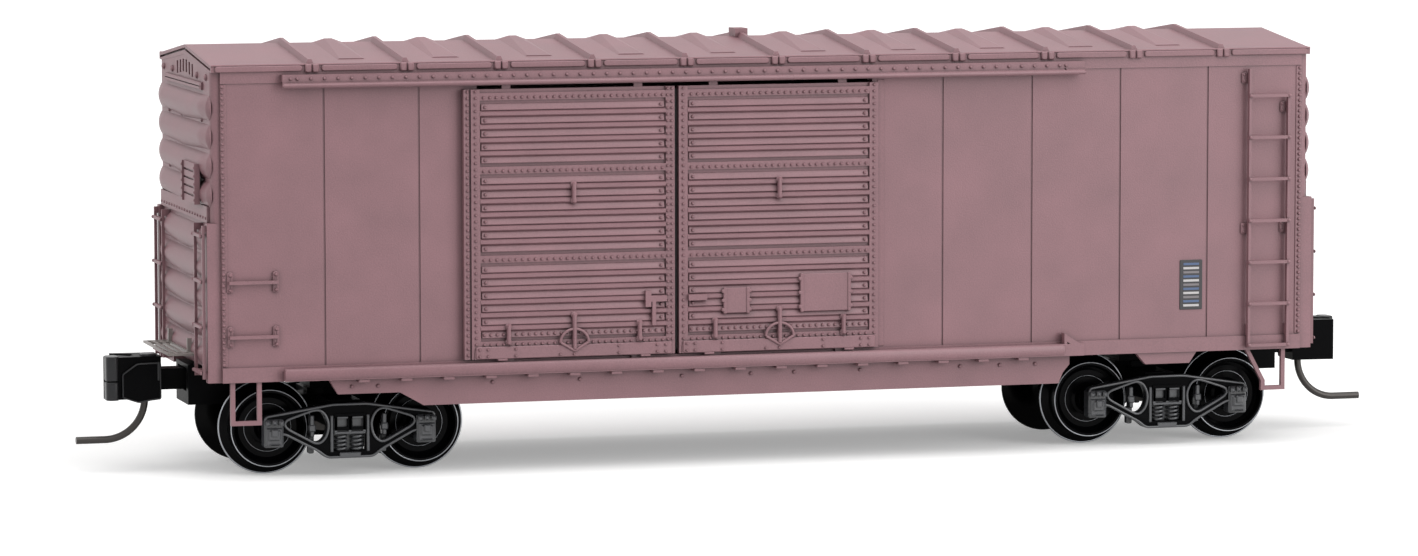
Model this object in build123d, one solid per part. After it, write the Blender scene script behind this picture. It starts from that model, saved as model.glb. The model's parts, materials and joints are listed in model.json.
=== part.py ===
"""Model railroad boxcar at 1:160: a moulded body with two sliding doors a side, on two swivelling trucks.

Millimetres. X runs along the car, Y across it, Z up. The origin is on the floor under the middle of the car,
level with the wheel flanges. The front side faces -Y and the plain end faces -X. The car is the same after half
a turn about Z, apart from the hand brake and the underfloor brake gear, so most pieces are modelled once, at the
front or the left, and turned to make their twin.
"""

import os
from math import cos, pi, sin

from build123d import *

# Wheelsets
tread_radius = 2.62
flange_height = 0.63
axle_radius = 0.6
journal_radius = 0.42
journal_reach = 0.55  # length of a journal inside the side frame
wheel_back = 3.8  # from the middle of the car to a wheel's back
wheel_width = 1.7
flange_width = 0.55
rim_width = 0.4
wheel_dish = 0.6
axle_height = tread_radius + flange_height

# Body length and width
body_length = 78.2  # over the end sheets
body_width = 18.0  # over the side sheets
side_wall = 1.0
end_wall = 1.1
corner_post = 0.6  # width of the end's corner post beside the side sheet
corner_inset = 0.15  # the corner post lies this far inside the side sheet
corner_radius = 0.5
end_face = body_length / 2
side_face = body_width / 2
side_half = end_face - corner_post

# Truck side frames, with heights from the axle
truck_inset = 9.7  # from the end sheet to the kingpin
wheelbase = 10.5
frame_gap = 0.7  # between a wheel and its side frame
frame_thickness = 0.85
frame_top_half = 1.4
frame_foot_half = 1.75
frame_rise = 1.83
frame_arm_rise = 1.33
frame_end_rise = 1.25
frame_end_drop = 0.65
frame_arm_drop = 0.35
frame_foot_drop = 1.85
# share of the half wheelbase, and height above the axle, at each corner of a side frame's window
frame_window = ((0.43, -0.83), (0.82, 0.3), (0.83, 0.75), (0.46, 1.31), (0.33, 1.05), (0.33, -0.35))
journal_clearance = 0.05
axle_end_play = 0.1
journal_box_width = 1.4
journal_box_depth = 1.25  # out of the frame's inner face
journal_box_drop = 0.9
journal_box_rise = 1.15
journal_lid_width = 1.0
journal_lid = 0.12
journal_lid_margin = 0.2
journal_hinge_width = 1.1
journal_hinge = 0.3
brake_hanger_place = 2.5
brake_hanger_width = 0.3
brake_hanger_depth = 0.38
brake_hanger_drop = 1.05
brake_hanger_rise = 1.2
spring_radius = 0.44
spring_wire = 0.1
spring_turns = 4
spring_spacing = 1.04
spring_seat_drop = 1.5
truck_centre = end_face - truck_inset
frame_inner = wheel_back + wheel_width + frame_gap
frame_outer = frame_inner + frame_thickness
axle_tip = frame_inner + journal_reach
spring_seat = axle_height - spring_seat_drop

# Truck bolster and kingpin
truck_bolster_half = 1.08
truck_bolster_drop = 0.13  # from the axle to the underside
truck_bolster_end = 1.13  # depth between the side frames' springs and arches
truck_bolster_depth = 1.88
truck_bolster_shoulder = 0.8  # from the side frame to the raised middle
bolster_clearance = 0.08
bolster_pocket_width = 0.72
bolster_pocket_depth = 0.4
bolster_pocket_margin = 0.22
centre_plate_radius = 1.7
centre_plate_sides = 8
centre_plate_height = 0.4
centre_plate_gap = 0.05
kingpin_radius = 0.75
kingpin_clearance = 0.07
kingpin_head_radius = 1.25
kingpin_sides = 8
kingpin_head = 0.6
truck_bolster_bottom = axle_height - truck_bolster_drop
truck_bolster_end_top = truck_bolster_bottom + truck_bolster_end
truck_bolster_top = truck_bolster_bottom + truck_bolster_depth
centre_plate_top = truck_bolster_top + centre_plate_height
boss_bottom = centre_plate_top + centre_plate_gap

# Side sheets and sills
body_rise = 1.4  # from the truck's centre plate to the side sill
side_height = 20.7  # from the sill's underside to the roof
sill_depth = 1.0
sill_proud = 0.15  # the sill stands this far out of the side sheet
seam_pitch = 6.5  # between the welded seams of the side sheets
seam_first = 12.0  # from the middle of the car to the seam nearest the door
seam_count = 4
seam_width = 0.14
seam_depth = 0.07
top_plate_depth = 0.75  # the plate along the top of the side sheet
top_plate_proud = 0.07
sill_bottom = centre_plate_top + body_rise
sill_top = sill_bottom + sill_depth
sill_face = side_face + sill_proud
wall_top = sill_bottom + side_height

# Floor and underframe
floor_rise = 0.8  # from the sill's top to the floor's
floor_thickness = 1.0
centre_sill_width = 2.2
centre_sill_depth = 1.7
crossbearer_width = 0.7
crossbearer_depth = 1.4
crossbearer_tip = 0.7
crossbearer_places = (-17.0, -7.2, 10.2, 17.0)
bolster_width = 3.2
bolster_depth = 0.85
weight_side_gap = 0.7
weight_end_gap = 3.0
weight_thickness = 1.0
floor_top = sill_top + floor_rise
floor_bottom = floor_top - floor_thickness

# Skirt plates that hang from the side sill
skirt_thickness = 0.5
skirt_drop = 1.93
skirt_step_drop = 1.0  # over the left truck
bolster_skirt_drop = 0.8
skirt_left = (-1.85, -1.25, 3.0, 4.65)  # top, step's start, step's end, deep part's start, from the left kingpin
skirt_right = (-8.85, -8.05)  # deep part's end and top, from the right kingpin
bolster_skirt = (-3.1, -2.4, 0.85, 1.4)  # top left, bottom left, bottom right, top right, from the right kingpin

# Roof
roof_end_lap = 0.02
roof_overhang = 0.1
eave_edge = 0.45
roof_rise = 1.0
roof_sheet = 0.65  # thickness at the ridge
roof_bays = 12
roof_verge = 0.2
seam_cap_width = 0.56
seam_cap_top = 0.24
seam_cap_height = 0.35
raised_panel_width = 1.9
raised_panel_top = 0.5  # at the ridge
raised_panel_height = 0.26  # at the ridge
raised_panel_step = 0.06  # at the foot
raised_panel_inset = 1.9
verge_lip = 0.22  # above the groove along the roof's end
verge_groove = 0.15
verge_groove_depth = 0.25
ridge_peg_length = 0.9
ridge_peg_width = 1.6
ridge_peg_rise = 0.2
roof_length = body_length + 2 * roof_end_lap
roof_bay = (roof_length - 2 * roof_verge) / roof_bays
roof_half = side_face + roof_overhang
eave_top = wall_top + eave_edge
ridge_top = eave_top + roof_rise
gable_inner = ridge_top - roof_sheet

# Ends
end_lower_sheet = 10.65  # from the sill to the lap of the upper and lower end sheets
end_lap_height = 1.1
end_lap_proud = 0.2
end_rib_height = 1.25
end_rib_shoulder = 0.85
end_rib_shoulder_proud = 0.28
end_rib_crown = 0.45
end_rib_proud = 0.4
end_rib_margin = 0.85  # from the side sheet to a rib's end
end_rib_taper = 1.3
end_rib_pitch = 1.93
upper_rib_drop = 2.5  # from the eave to the highest upper rib
upper_rib_count = 4
lower_rib_drop = 1.25  # from the lap to the highest lower rib
lower_rib_count = 5
end_bar_drop = 1.05
end_bar_margin = 2.7
end_bar_height = 0.5
end_bar_proud = 0.15
end_post_depth = 0.33  # the lower corner posts stand this far out of the sheet
end_post_width = 0.75
coupler_notch_half = 5.1
vent_slots = 6
vent_slot_pitch = 1.05
vent_slot_width = 0.5
vent_slot_height = 0.85
vent_slot_depth = 0.35
vent_slot_top_gap = 0.3
tack_board_width = 4.6
tack_board_height = 2.7
tack_board_thickness = 0.25
tack_board_batten = 0.12
tack_board_offset = 4.6
tack_board_rise = 1.15  # above the lap
tack_board_planks = 5
end_seam = sill_bottom + end_lower_sheet
end_rib_reach = side_face - end_rib_margin
rib_face = end_face + end_rib_proud

# Doors, their opening and their tracks
door_meeting = -7.2
door_gap = 0.3
door_width = 14.2
left_door_travel = 12.0
right_door_travel = 13.2
opening_drop = 1.1  # from the roof to the top of the opening
door_top_gap = 0.3
left_door_lap = 0.55
right_door_lap = 0.25
door_sill_gap = 0.1
door_clearance = 0.06  # from the side sheet
door_plate = 0.36
door_stile = 0.62
door_stile_proud = 0.17
door_edge_bar = 0.5
door_strip = 0.5
door_strip_proud = 0.16
door_strip_drops = (0.5, 5.46, 11.45, 17.25)  # from the door's top
door_rib_pitch = 0.9  # the flats between the ribs of a panel are spaced evenly, about this far apart
door_rib_base = 0.52
door_rib_top = 0.22
door_rib_proud = 0.2
door_rail_height = 0.85
door_rail_inset = 0.2
door_rail_chamfer = 0.3
door_rail_proud = 0.24
door_tongue_back = 0.12  # from the side sheet
door_tongue_front = 0.36
door_tongue_gap = 0.2
door_hanger_length = 0.6
door_foot_length = 1.0
door_foot_offset = 4.6
hardware_proud = 0.2  # handles, levers and brackets above the ribs
bar_width = 0.26
handle_drop = 7.65
handle_height = 1.2
lever_rise = 0.45
lever_height = 2.35
door_bracket_offset = 4.58
door_bracket_rise = 1.05
door_bracket_height = 1.2
latch_rise = 3.8
latch_length = 1.3
latch_bar = 0.4
latch_guide = 1.1
latch_crank = 1.8
placard_proud = 0.1
# left edge from the middle of the right-hand door, height above its foot, width and height of the boards
placard_boards = ((-3.98, 2.69, 1.82, 1.66), (1.5, 2.65, 3.58, 2.52))
track_clearance = 0.08
track_proud = 0.78
track_spare = 0.35  # track beyond the doors' travel
upper_track_gap = 0.29
upper_track_channel = 0.46
upper_track_web = 0.45
upper_track_lip = 0.28
upper_track_lip_height = 0.38
upper_track_flange_proud = 0.62
lower_track_gap = 0.21
lower_track_groove = 0.19
lower_track_lip = 0.18
lower_track_rise = 0.05  # from the sill's underside
door_stop_length = 1.45
door_stop_height = 0.75
door_stop_rim = 0.2
left_door_start = door_meeting - door_gap / 2 - door_width
right_door_start = door_meeting + door_gap / 2
opening_left = left_door_start + left_door_lap
opening_right = right_door_start + door_width - right_door_lap
opening_top = wall_top - opening_drop
door_top = opening_top - door_top_gap
door_bottom = sill_top + door_sill_gap
upper_track_bottom = door_top + upper_track_gap
upper_track_roof = upper_track_bottom + upper_track_channel
upper_track_top = upper_track_roof + upper_track_web
lower_track_top = door_bottom - lower_track_gap
lower_track_ledge = lower_track_top - lower_track_groove
track_left = left_door_start - door_edge_bar - left_door_travel - track_spare
door_stop_left = right_door_start + door_width + right_door_travel + track_spare
track_right = door_stop_left + door_stop_length
track_lip = side_face + track_proud

# Ladders, grab irons and steps
ladder_stile = 0.2
rung_width = 0.22
side_ladder_depth = 0.35
side_ladder_tab = 0.75
side_ladder_inset = 1.1
side_ladder_width = 2.9
side_ladder_standoff = 0.25
side_ladder_top_gap = 0.95  # below the roof
side_ladder_bottom_gap = 0.2  # above the sill's underside
side_ladder_rungs = 7
side_ladder_foot = 0.15  # below the lowest rung
side_ladder_head = 1.88  # above the highest rung
left_stile_tabs = (0.27, 10.84, 17.95)  # below the ladder's top
right_stile_tabs = (2.34, 10.84, 17.95)
end_ladder_inset = 0.5  # from the side sheet to the middle of the outer stile
end_ladder_width = 2.75
end_ladder_depth = 0.2
end_ladder_tab = 0.45
end_ladder_standoff = 0.43
end_ladder_top_gap = 0.15
end_ladder_bottom_gap = 0.25
end_ladder_rungs = 4
end_ladder_foot = 0.4
end_ladder_head = 0.7
grab_inset = 0.55
grab_length = 3.1
grab_rises = (3.05, 6.7)  # above the sill's underside
grab_foot_width = 0.42
grab_foot_height = 1.3
grab_foot_depth = 0.14
grab_standoff = 0.35
step_bar = 0.3
step_drop = 2.9
left_step_inset = 0.55
left_step_width = 2.1
right_step_inset = 1.05
right_step_width = 1.8
right_step_slant = 1.18
right_step_bend = 0.7  # height of the bend above the step

# Coupler pocket on the truck, and the coupler in it, with heights from the coupler's middle
coupler_drop = 1.31  # from the floor's underside to the middle of the coupler
pocket_reach = 0.4  # beyond the end sheet
pocket_length = 4.6
pocket_half = 2.1
pocket_wall = 0.6
pocket_base = 0.88
pocket_room = 0.79
pocket_lid = 0.27
pocket_arm_half = 1.2
pocket_arm_depth = 0.7
coupler_post_inset = 2.9  # behind the pocket's mouth
coupler_post_radius = 0.5
coupler_post_sides = 8
coupler_post_clearance = 0.06
shank_half = 0.8
shank_wall = 0.35
shank_depth = 0.71
shank_reach = 1.7  # from the pocket's mouth to the head
head_length = 3.8
head_lap = 0.2
head_depth = 1.24
head_rise = 1.64
# distance back from the knuckle's front, and place across, at each corner of the head: knuckle, throat, guard arm
coupler_plan = ((3.8, -1.35), (0.9, -1.5), (0.15, -1.1), (0.0, -0.5), (0.5, 0.2), (1.15, -0.1),
                (1.75, -0.75), (2.1, -0.3), (2.1, 0.55), (0.7, 1.1), (0.75, 1.5), (3.8, 1.25))
trip_pin_radius = 0.21
trip_pin_sides = 6
trip_pin_inset = 0.9  # in front of the head's back
trip_pin_straight = 0.45
trip_pin_bottom = 1.95  # height of the pin's level end
trip_pin_foot = 2.0
coupler_height = floor_bottom - coupler_drop
pocket_front = end_face + pocket_reach
pocket_back = pocket_front - pocket_length
pocket_floor = coupler_height - pocket_room
pocket_bottom = pocket_floor - pocket_base
pocket_top = coupler_height + pocket_room
coupler_pivot = pocket_front - coupler_post_inset
head_back = pocket_front + shank_reach
knuckle_front = head_back + head_length
coupler_bottom = coupler_height - head_depth
coupler_top = coupler_height + head_rise

# Crossover platforms
platform_clearance = 0.32  # over the coupler
platform_thickness = 0.15
platform_half_width = 4.65
platform_depth = 1.77
platform_slats = 4
platform_slat = 0.2
platform_bearer = 0.3
platform_bracket_place = 3.4
platform_bracket_rise = 0.9
platform_bottom = coupler_top + platform_clearance
platform_top = platform_bottom + platform_thickness
platform_inner = end_face + end_ladder_standoff
platform_outer = platform_inner + platform_depth

# Hand brake on the right-hand end
brake_wheel_radius = 1.75
brake_wheel_rim = 0.28
brake_wheel_sides = 16
brake_wheel_hub = 0.8
brake_wheel_spoke = 0.22
brake_wheel_spokes = 5
brake_wheel_place = -2.6
brake_wheel_rise = 2.75  # above the lap
brake_wheel_gap = 0.25
brake_case_depth = 0.7
brake_case_width = 2.2
brake_case_height = 2.6
brake_case_chamfer = 0.4
brake_rod = 0.28
brake_shaft = 0.4

# Underfloor air brake gear
tank_sides = 12
reservoir_radius = 1.35
reservoir_length = 6.4
reservoir_place = (-2.5, -4.6)
cylinder_radius = 0.95
cylinder_length = 3.6
cylinder_place = (3.4, 4.2)
piston_reach = 2.4
valve_size = (1.5, 1.6, 1.7)
valve_place = (7.8, -4.0)
brake_gear_drop = 0.3
strap_width = 0.4


def block(x, y, z):
    """A box from its two limits along each axis, in either order."""
    size = [abs(b - a) for a, b in (x, y, z)]
    middle = [(a + b) / 2 for a, b in (x, y, z)]
    return Pos(*middle) * Box(*size)


def prism(points, start, travel):
    """A polygon of points in a plane, each moved by start and carried along travel."""
    corners = [Vector(*p) + Vector(*start) for p in points]
    return Solid.extrude(Face(Wire.make_polygon(corners)), Vector(*travel))


def prism_along_x(points_yz, low, high):
    return prism([(0, y, z) for y, z in points_yz], (low, 0, 0), (high - low, 0, 0))


def prism_along_y(points_xz, low, high):
    return prism([(x, 0, z) for x, z in points_xz], (0, low, 0), (0, high - low, 0))


def prism_along_z(points_xy, low, high):
    return prism([(x, y, 0) for x, y in points_xy], (0, 0, low), (0, 0, high - low))


def round_points(sides, radius, centre=(0, 0)):
    """The corners of a regular polygon with a flat at each axis, in a plane."""
    turns = [(i + 0.5) * 2 * pi / sides for i in range(sides)]
    return [(centre[0] + radius * cos(t), centre[1] + radius * sin(t)) for t in turns]


def rod(start, end, radius):
    """A round bar between two points."""
    a, b = Vector(*start), Vector(*end)
    return Solid.make_cylinder(radius, (b - a).length, Plane(origin=a, z_dir=b - a))


def square_bar(start, end, width):
    """A square bar between two points that lie along one axis."""
    limits = []
    for a, b in zip(start, end):
        side = width / 2 if a == b else 0
        limits.append((min(a, b) - side, max(a, b) + side))
    return block(*limits)


def spun(points, origin, direction):
    """A profile of (distance along the axis, radius) turned about an axis."""
    plane = Plane(origin=origin, z_dir=direction)
    face = Face(Wire.make_polygon([plane.from_local_coords(Vector(r, 0, a)) for a, r in points]))
    return Solid.revolve(face, 360, Axis(origin, direction))


def centred(middle, width):
    """The two limits of a width about its middle."""
    return middle - width / 2, middle + width / 2


def half_turn(shape):
    """The same piece at the other end and on the other side of the car."""
    return Rot(0, 0, 180) * shape


def joined(pieces):
    """All the pieces fused into one."""
    first, *rest = pieces
    return first.fuse(*rest) if rest else first


def roof_bar(x, base, top, height, reach):
    """A raised bar across the roof at x, base wide at its foot and top wide, down both slopes to y = reach."""
    drop = reach * roof_rise / roof_half
    foot = ridge_top - roof_sheet / 2
    crown = ridge_top + height
    section = [(x - base / 2, 0, foot), (x - base / 2, 0, ridge_top), (x - top / 2, 0, crown),
               (x + top / 2, 0, crown), (x + base / 2, 0, ridge_top), (x + base / 2, 0, foot)]
    slopes = [prism(section, (0, 0, 0), (0, side * reach, -drop)) for side in (-1, 1)]
    return slopes[0] + slopes[1]


def raised_panel(x):
    """A panel pressed up across the roof at x, highest at the ridge."""
    reach = roof_half - raised_panel_inset
    foot = ridge_top - reach * roof_rise / roof_half
    crown = ridge_top + raised_panel_height
    panel = roof_bar(x, raised_panel_width, raised_panel_top, raised_panel_height, reach)
    for side in (-1, 1):
        over = [(0, crown), (side * reach, crown), (side * reach, foot + raised_panel_step)]
        panel -= prism_along_x(over, *centred(x, raised_panel_width))
    return panel


def roof():
    """The gabled sheet with its seam caps, raised panels and grooved verges."""
    seat = side_face - side_wall
    sheet = prism_along_x(
        [(-roof_half, wall_top), (-roof_half, eave_top), (0, ridge_top), (roof_half, eave_top),
         (roof_half, wall_top), (seat, wall_top), (0, gable_inner), (-seat, wall_top)],
        -roof_length / 2, roof_length / 2)
    pieces = [sheet]
    for i in range(1, roof_bays):
        x = (i - roof_bays / 2) * roof_bay
        pieces.append(roof_bar(x, seam_cap_width, seam_cap_top, seam_cap_height, roof_half))
    for i in range(1, roof_bays - 1):
        pieces.append(raised_panel((i + 0.5 - roof_bays / 2) * roof_bay))
    peg_top = ridge_top + seam_cap_height + ridge_peg_rise
    pieces.append(block(centred(0, ridge_peg_length), centred(0, ridge_peg_width), (gable_inner, peg_top)))
    half = side_face - corner_inset
    top = ridge_top - verge_lip
    shoulder = top - half * roof_rise / roof_half
    groove = [(-half, shoulder), (0, top), (half, shoulder), (half, shoulder - verge_groove),
              (0, top - verge_groove), (-half, shoulder - verge_groove)]
    end = roof_length / 2
    inner = end - verge_groove_depth
    return joined(pieces).cut(prism_along_x(groove, -end, -inner), prism_along_x(groove, inner, end))


def side_wall_front():
    """The front side sheet: its door opening, welded seams and top plate."""
    inside = side_wall - side_face
    plate_bottom = wall_top - top_plate_depth
    sheet = block((-side_half, side_half), (-side_face, inside), (sill_top, wall_top))
    plate_depth = (-side_face - top_plate_proud, -side_face)
    top_plate = block((-side_half, side_half), plate_depth, (plate_bottom, wall_top))
    cuts = [block((opening_left, opening_right), (-side_face, inside), (sill_top, opening_top))]
    right_seams = [seam_first + i * seam_pitch for i in range(seam_count)]
    left_seams = [-x for x in right_seams if -x + seam_width < left_door_start]
    for x in left_seams + right_seams:
        cuts.append(block(centred(x, seam_width), (-side_face, seam_depth - side_face), (sill_top, plate_bottom)))
    return joined([sheet, top_plate]).cut(*cuts)


def side_sill_front():
    """The sill under the front side sheet with the skirt plates that hang from it."""
    sill = block((-side_half, side_half), (-sill_face, side_wall - side_face), (sill_bottom, sill_top))
    top_left, step_start, step_end, deep_start = (x - truck_centre for x in skirt_left)
    deep_end, top_right = (x + truck_centre for x in skirt_right)
    step, deep = sill_bottom - skirt_step_drop, sill_bottom - skirt_drop
    skirt = [(top_left, sill_bottom), (step_start, step), (step_end, step), (deep_start, deep), (deep_end, deep),
             (top_right, sill_bottom)]
    corners = [x + truck_centre for x in bolster_skirt]
    heights = (sill_bottom, sill_bottom - bolster_skirt_drop, sill_bottom - bolster_skirt_drop, sill_bottom)
    depth = (-side_face, skirt_thickness - side_face)
    return joined([sill, prism_along_y(skirt, *depth), prism_along_y(list(zip(corners, heights)), *depth)])


def pressed_rib(height):
    """A pressed end rib with sloping flanks and tapered ends."""
    back = end_wall / 2 - end_face
    shoulder = -end_face - end_rib_shoulder_proud
    # place along the car and half the rib's height there, from the sheet out to the crown
    flank = ((back, end_rib_height / 2), (-end_face, end_rib_height / 2), (shoulder, end_rib_shoulder / 2),
             (-rib_face, end_rib_crown / 2))
    section = [(x, height - half) for x, half in flank] + [(x, height + half) for x, half in reversed(flank)]
    straight = end_rib_reach - end_rib_taper
    plan = [(back, -end_rib_reach), (-end_face, -end_rib_reach), (-rib_face, -straight), (-rib_face, straight),
            (-end_face, end_rib_reach), (back, end_rib_reach)]
    length = prism_along_y(section, -end_rib_reach, end_rib_reach)
    return length & prism_along_z(plan, *centred(height, end_rib_height))


def end_left():
    """The left end: gabled sheet, pressed ribs, lap joint, corner posts, vent and coupler notch."""
    half = side_face - corner_inset
    inner = end_wall - end_face
    seat = side_face - side_wall
    sheet = prism_along_x(
        [(-half, sill_bottom), (-half, wall_top), (-seat, wall_top), (0, gable_inner), (seat, wall_top),
         (half, wall_top), (half, sill_bottom)], -end_face, inner)
    corners = sheet.edges().filter_by(Axis.Z).filter_by(lambda e: e.center().X < -side_half)
    sheet = fillet(corners, corner_radius)
    pieces = [sheet]
    upper, lower = wall_top - upper_rib_drop, end_seam - lower_rib_drop
    for top, count in ((upper, upper_rib_count), (lower, lower_rib_count)):
        pieces += [pressed_rib(top - i * end_rib_pitch) for i in range(count)]
    across = (-end_rib_reach, end_rib_reach)
    pieces.append(block((-end_face - end_lap_proud, -end_face), across, (end_seam, end_seam + end_lap_height)))
    bar_half = side_face - end_bar_margin
    bar_height = centred(wall_top - end_bar_drop, end_bar_height)
    pieces.append(block((-end_face - end_bar_proud, -end_face), (-bar_half, bar_half), bar_height))
    for side in (-1, 1):
        post = (side * half, side * (half - end_post_width))
        post_depth = (-end_face - end_post_depth, corner_radius - end_face)
        pieces.append(block(post_depth, post, (sill_bottom, end_seam)))
    cuts = [block((-rib_face, inner), (-coupler_notch_half, coupler_notch_half), (sill_bottom, floor_bottom))]
    for side in (-1, 1):
        cuts.append(block((-side_half, inner), (side * seat, side * sill_face), (sill_bottom, wall_top)))
    for i in range(vent_slots):
        y = (i - (vent_slots - 1) / 2) * vent_slot_pitch
        top = gable_inner - abs(y) * (gable_inner - wall_top) / seat - vent_slot_top_gap
        cuts.append(block((-end_face, vent_slot_depth - end_face), centred(y, vent_slot_width),
                          (top - vent_slot_height, top)))
    return joined(pieces).cut(*cuts)


def tack_board_left():
    """The planked notice board on the left end's ribs, with a batten at each edge."""
    low, high = centred(-tack_board_offset, tack_board_width)
    bottom = end_seam + tack_board_rise
    front = -rib_face - tack_board_thickness
    height = (bottom, bottom + tack_board_height)
    pieces = [block((front, -rib_face), (low, high), height)]
    for y in ((low, low + bar_width), (high - bar_width, high)):
        pieces.append(block((front - tack_board_batten, front), y, height))
    gaps = []
    for i in range(1, tack_board_planks):
        gap = centred(bottom + i * tack_board_height / tack_board_planks, seam_width)
        gaps.append(block((front, front + tack_board_batten), (low + bar_width, high - bar_width), gap))
    return joined(pieces).cut(*gaps)


def floor_plate():
    """The floor between the side and end walls."""
    length = end_face - end_wall
    width = side_face - side_wall
    return block((-length, length), (-width, width), (floor_bottom, floor_top))


def body_bolsters():
    """The cross beams over the trucks, each with the boss that takes a kingpin."""
    width = side_face - side_wall
    half = bolster_width / 2
    bottom = floor_bottom - bolster_depth
    outline = [(-width, bottom), (-half, bottom), (-half, boss_bottom), (half, boss_bottom), (half, bottom),
               (width, bottom), (width, floor_bottom), (-width, floor_bottom)]
    beams = []
    for x in (-truck_centre, truck_centre):
        beam = prism_along_x(outline, x - half, x + half)
        hole = round_points(kingpin_sides, kingpin_radius, (x, 0))
        beams.append(beam - prism_along_z(hole, boss_bottom, floor_bottom))
    return Compound(children=beams)


def centre_sill():
    """The backbone under the floor, between the kingpin bosses."""
    length = truck_centre - centre_plate_radius - centre_sill_width / 2
    depth = (floor_bottom - centre_sill_depth, floor_bottom)
    return block((-length, length), centred(0, centre_sill_width), depth)


def crossbearers():
    """The tapered beams from the centre sill out to the side sills."""
    half = centre_sill_width / 2
    reach = side_face - side_wall
    beams = []
    for x in crossbearer_places:
        for side in (-1, 1):
            outline = [(side * half, floor_bottom), (side * half, floor_bottom - crossbearer_depth),
                       (side * reach, floor_bottom - crossbearer_tip), (side * reach, floor_bottom)]
            beams.append(prism_along_x(outline, *centred(x, crossbearer_width)))
    return Compound(children=beams)


def steel_weight():
    """The ballast plate that lies on the floor."""
    length = end_face - end_wall - weight_end_gap
    width = side_face - side_wall - weight_side_gap
    return block((-length, length), (-width, width), (floor_top, floor_top + weight_thickness))


def kingpin(x):
    """The pin pressed into the body bolster that holds a truck by its head."""
    head_top = truck_bolster_bottom - kingpin_clearance
    head = round_points(kingpin_sides, kingpin_head_radius, (x, 0))
    shank = round_points(kingpin_sides, kingpin_radius, (x, 0))
    return prism_along_z(head, head_top - kingpin_head, head_top) + prism_along_z(shank, head_top, floor_bottom)


def brake_gear():
    """The reservoir, brake cylinder and control valve, each hung from the floor by a bracket."""
    x, y = reservoir_place
    axis = floor_bottom - reservoir_radius - brake_gear_drop
    tank = prism_along_x(round_points(tank_sides, reservoir_radius, (y, axis)), *centred(x, reservoir_length))
    pieces = [tank]
    for place in centred(x, reservoir_length / 2):
        pieces.append(block(centred(place, strap_width), centred(y, 2 * strap_width), (axis, floor_bottom)))
    reservoir = joined(pieces)
    x, y = cylinder_place
    axis = floor_bottom - cylinder_radius - brake_gear_drop
    barrel = prism_along_x(round_points(tank_sides, cylinder_radius, (y, axis)), *centred(x, cylinder_length))
    piston = square_bar((x, y, axis), (x + cylinder_length / 2 + piston_reach, y, axis), strap_width)
    saddle = block(centred(x, cylinder_length / 2), centred(y, 2 * strap_width), (axis, floor_bottom))
    x, y = valve_place
    length, width, depth = valve_size
    body = block(centred(x, length), centred(y, width), (floor_bottom - depth, floor_bottom))
    cap = block(centred(x, length / 2), (y - width, y), centred(floor_bottom - depth / 2, depth / 2))
    return Compound(children=[reservoir, joined([barrel, piston, saddle]), joined([body, cap])])


def upper_track_front():
    """The channel that the doors hang in, with a break near its right end."""
    flange = side_face + upper_track_flange_proud
    plate = side_face + top_plate_proud
    step = upper_track_bottom + upper_track_lip_height
    inside = upper_track_lip - track_lip
    section = [(-plate, upper_track_top), (-flange, upper_track_top), (-flange, step), (-track_lip, step),
               (-track_lip, upper_track_bottom), (inside, upper_track_bottom), (inside, upper_track_roof),
               (-plate, upper_track_roof)]
    track = prism_along_x(section, track_left, track_right)
    depth = (-track_lip, seam_depth - flange)
    gap = block(centred(door_stop_left, seam_width), depth, (upper_track_bottom, step + seam_depth))
    return track - gap


def lower_track_front():
    """The ledge that the doors stand on, with the triangular stop at its right end."""
    bottom = sill_bottom + lower_track_rise
    groove = lower_track_lip - track_lip
    section = [(-sill_face, lower_track_ledge), (groove, lower_track_ledge), (groove, lower_track_top),
               (-track_lip, lower_track_top), (-track_lip, bottom), (-sill_face, bottom)]
    track = prism_along_x(section, track_left, track_right)
    low, high = lower_track_ledge, lower_track_top + door_stop_height
    rim = door_stop_rim
    left, right = door_stop_left, track_right
    lean = (right - left) / (high - low)
    stop = prism_along_y([(left, low), (left, high), (right, low)], -track_lip, -sill_face)
    hole_top = high - 3 * rim
    hole_right = left + rim + lean * (hole_top - lower_track_top)
    corners = [(left + rim, lower_track_top), (left + rim, hole_top), (hole_right, lower_track_top)]
    hole = prism_along_y(corners, -track_lip, -sill_face)
    return joined([track, stop - hole])


def door_ribs(inner, face):
    """The pressed ribs of a door, which part each panel between two strips into flats."""
    strips = [door_top - drop for drop in door_strip_drops]
    rib = face + door_rib_proud
    ribs = []
    for upper, lower in zip(strips, strips[1:]):
        panel_top = upper - door_strip / 2
        height = panel_top - (lower + door_strip / 2)
        flats = round(height / door_rib_pitch)
        for i in range(1, flats):
            z = panel_top - i * height / flats
            base, top = centred(z, door_rib_base), centred(z, door_rib_top)
            section = [(-face, base[0]), (-rib, top[0]), (-rib, top[1]), (-face, base[1])]
            ribs.append(prism_along_x(section, *inner))
    return ribs


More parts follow.
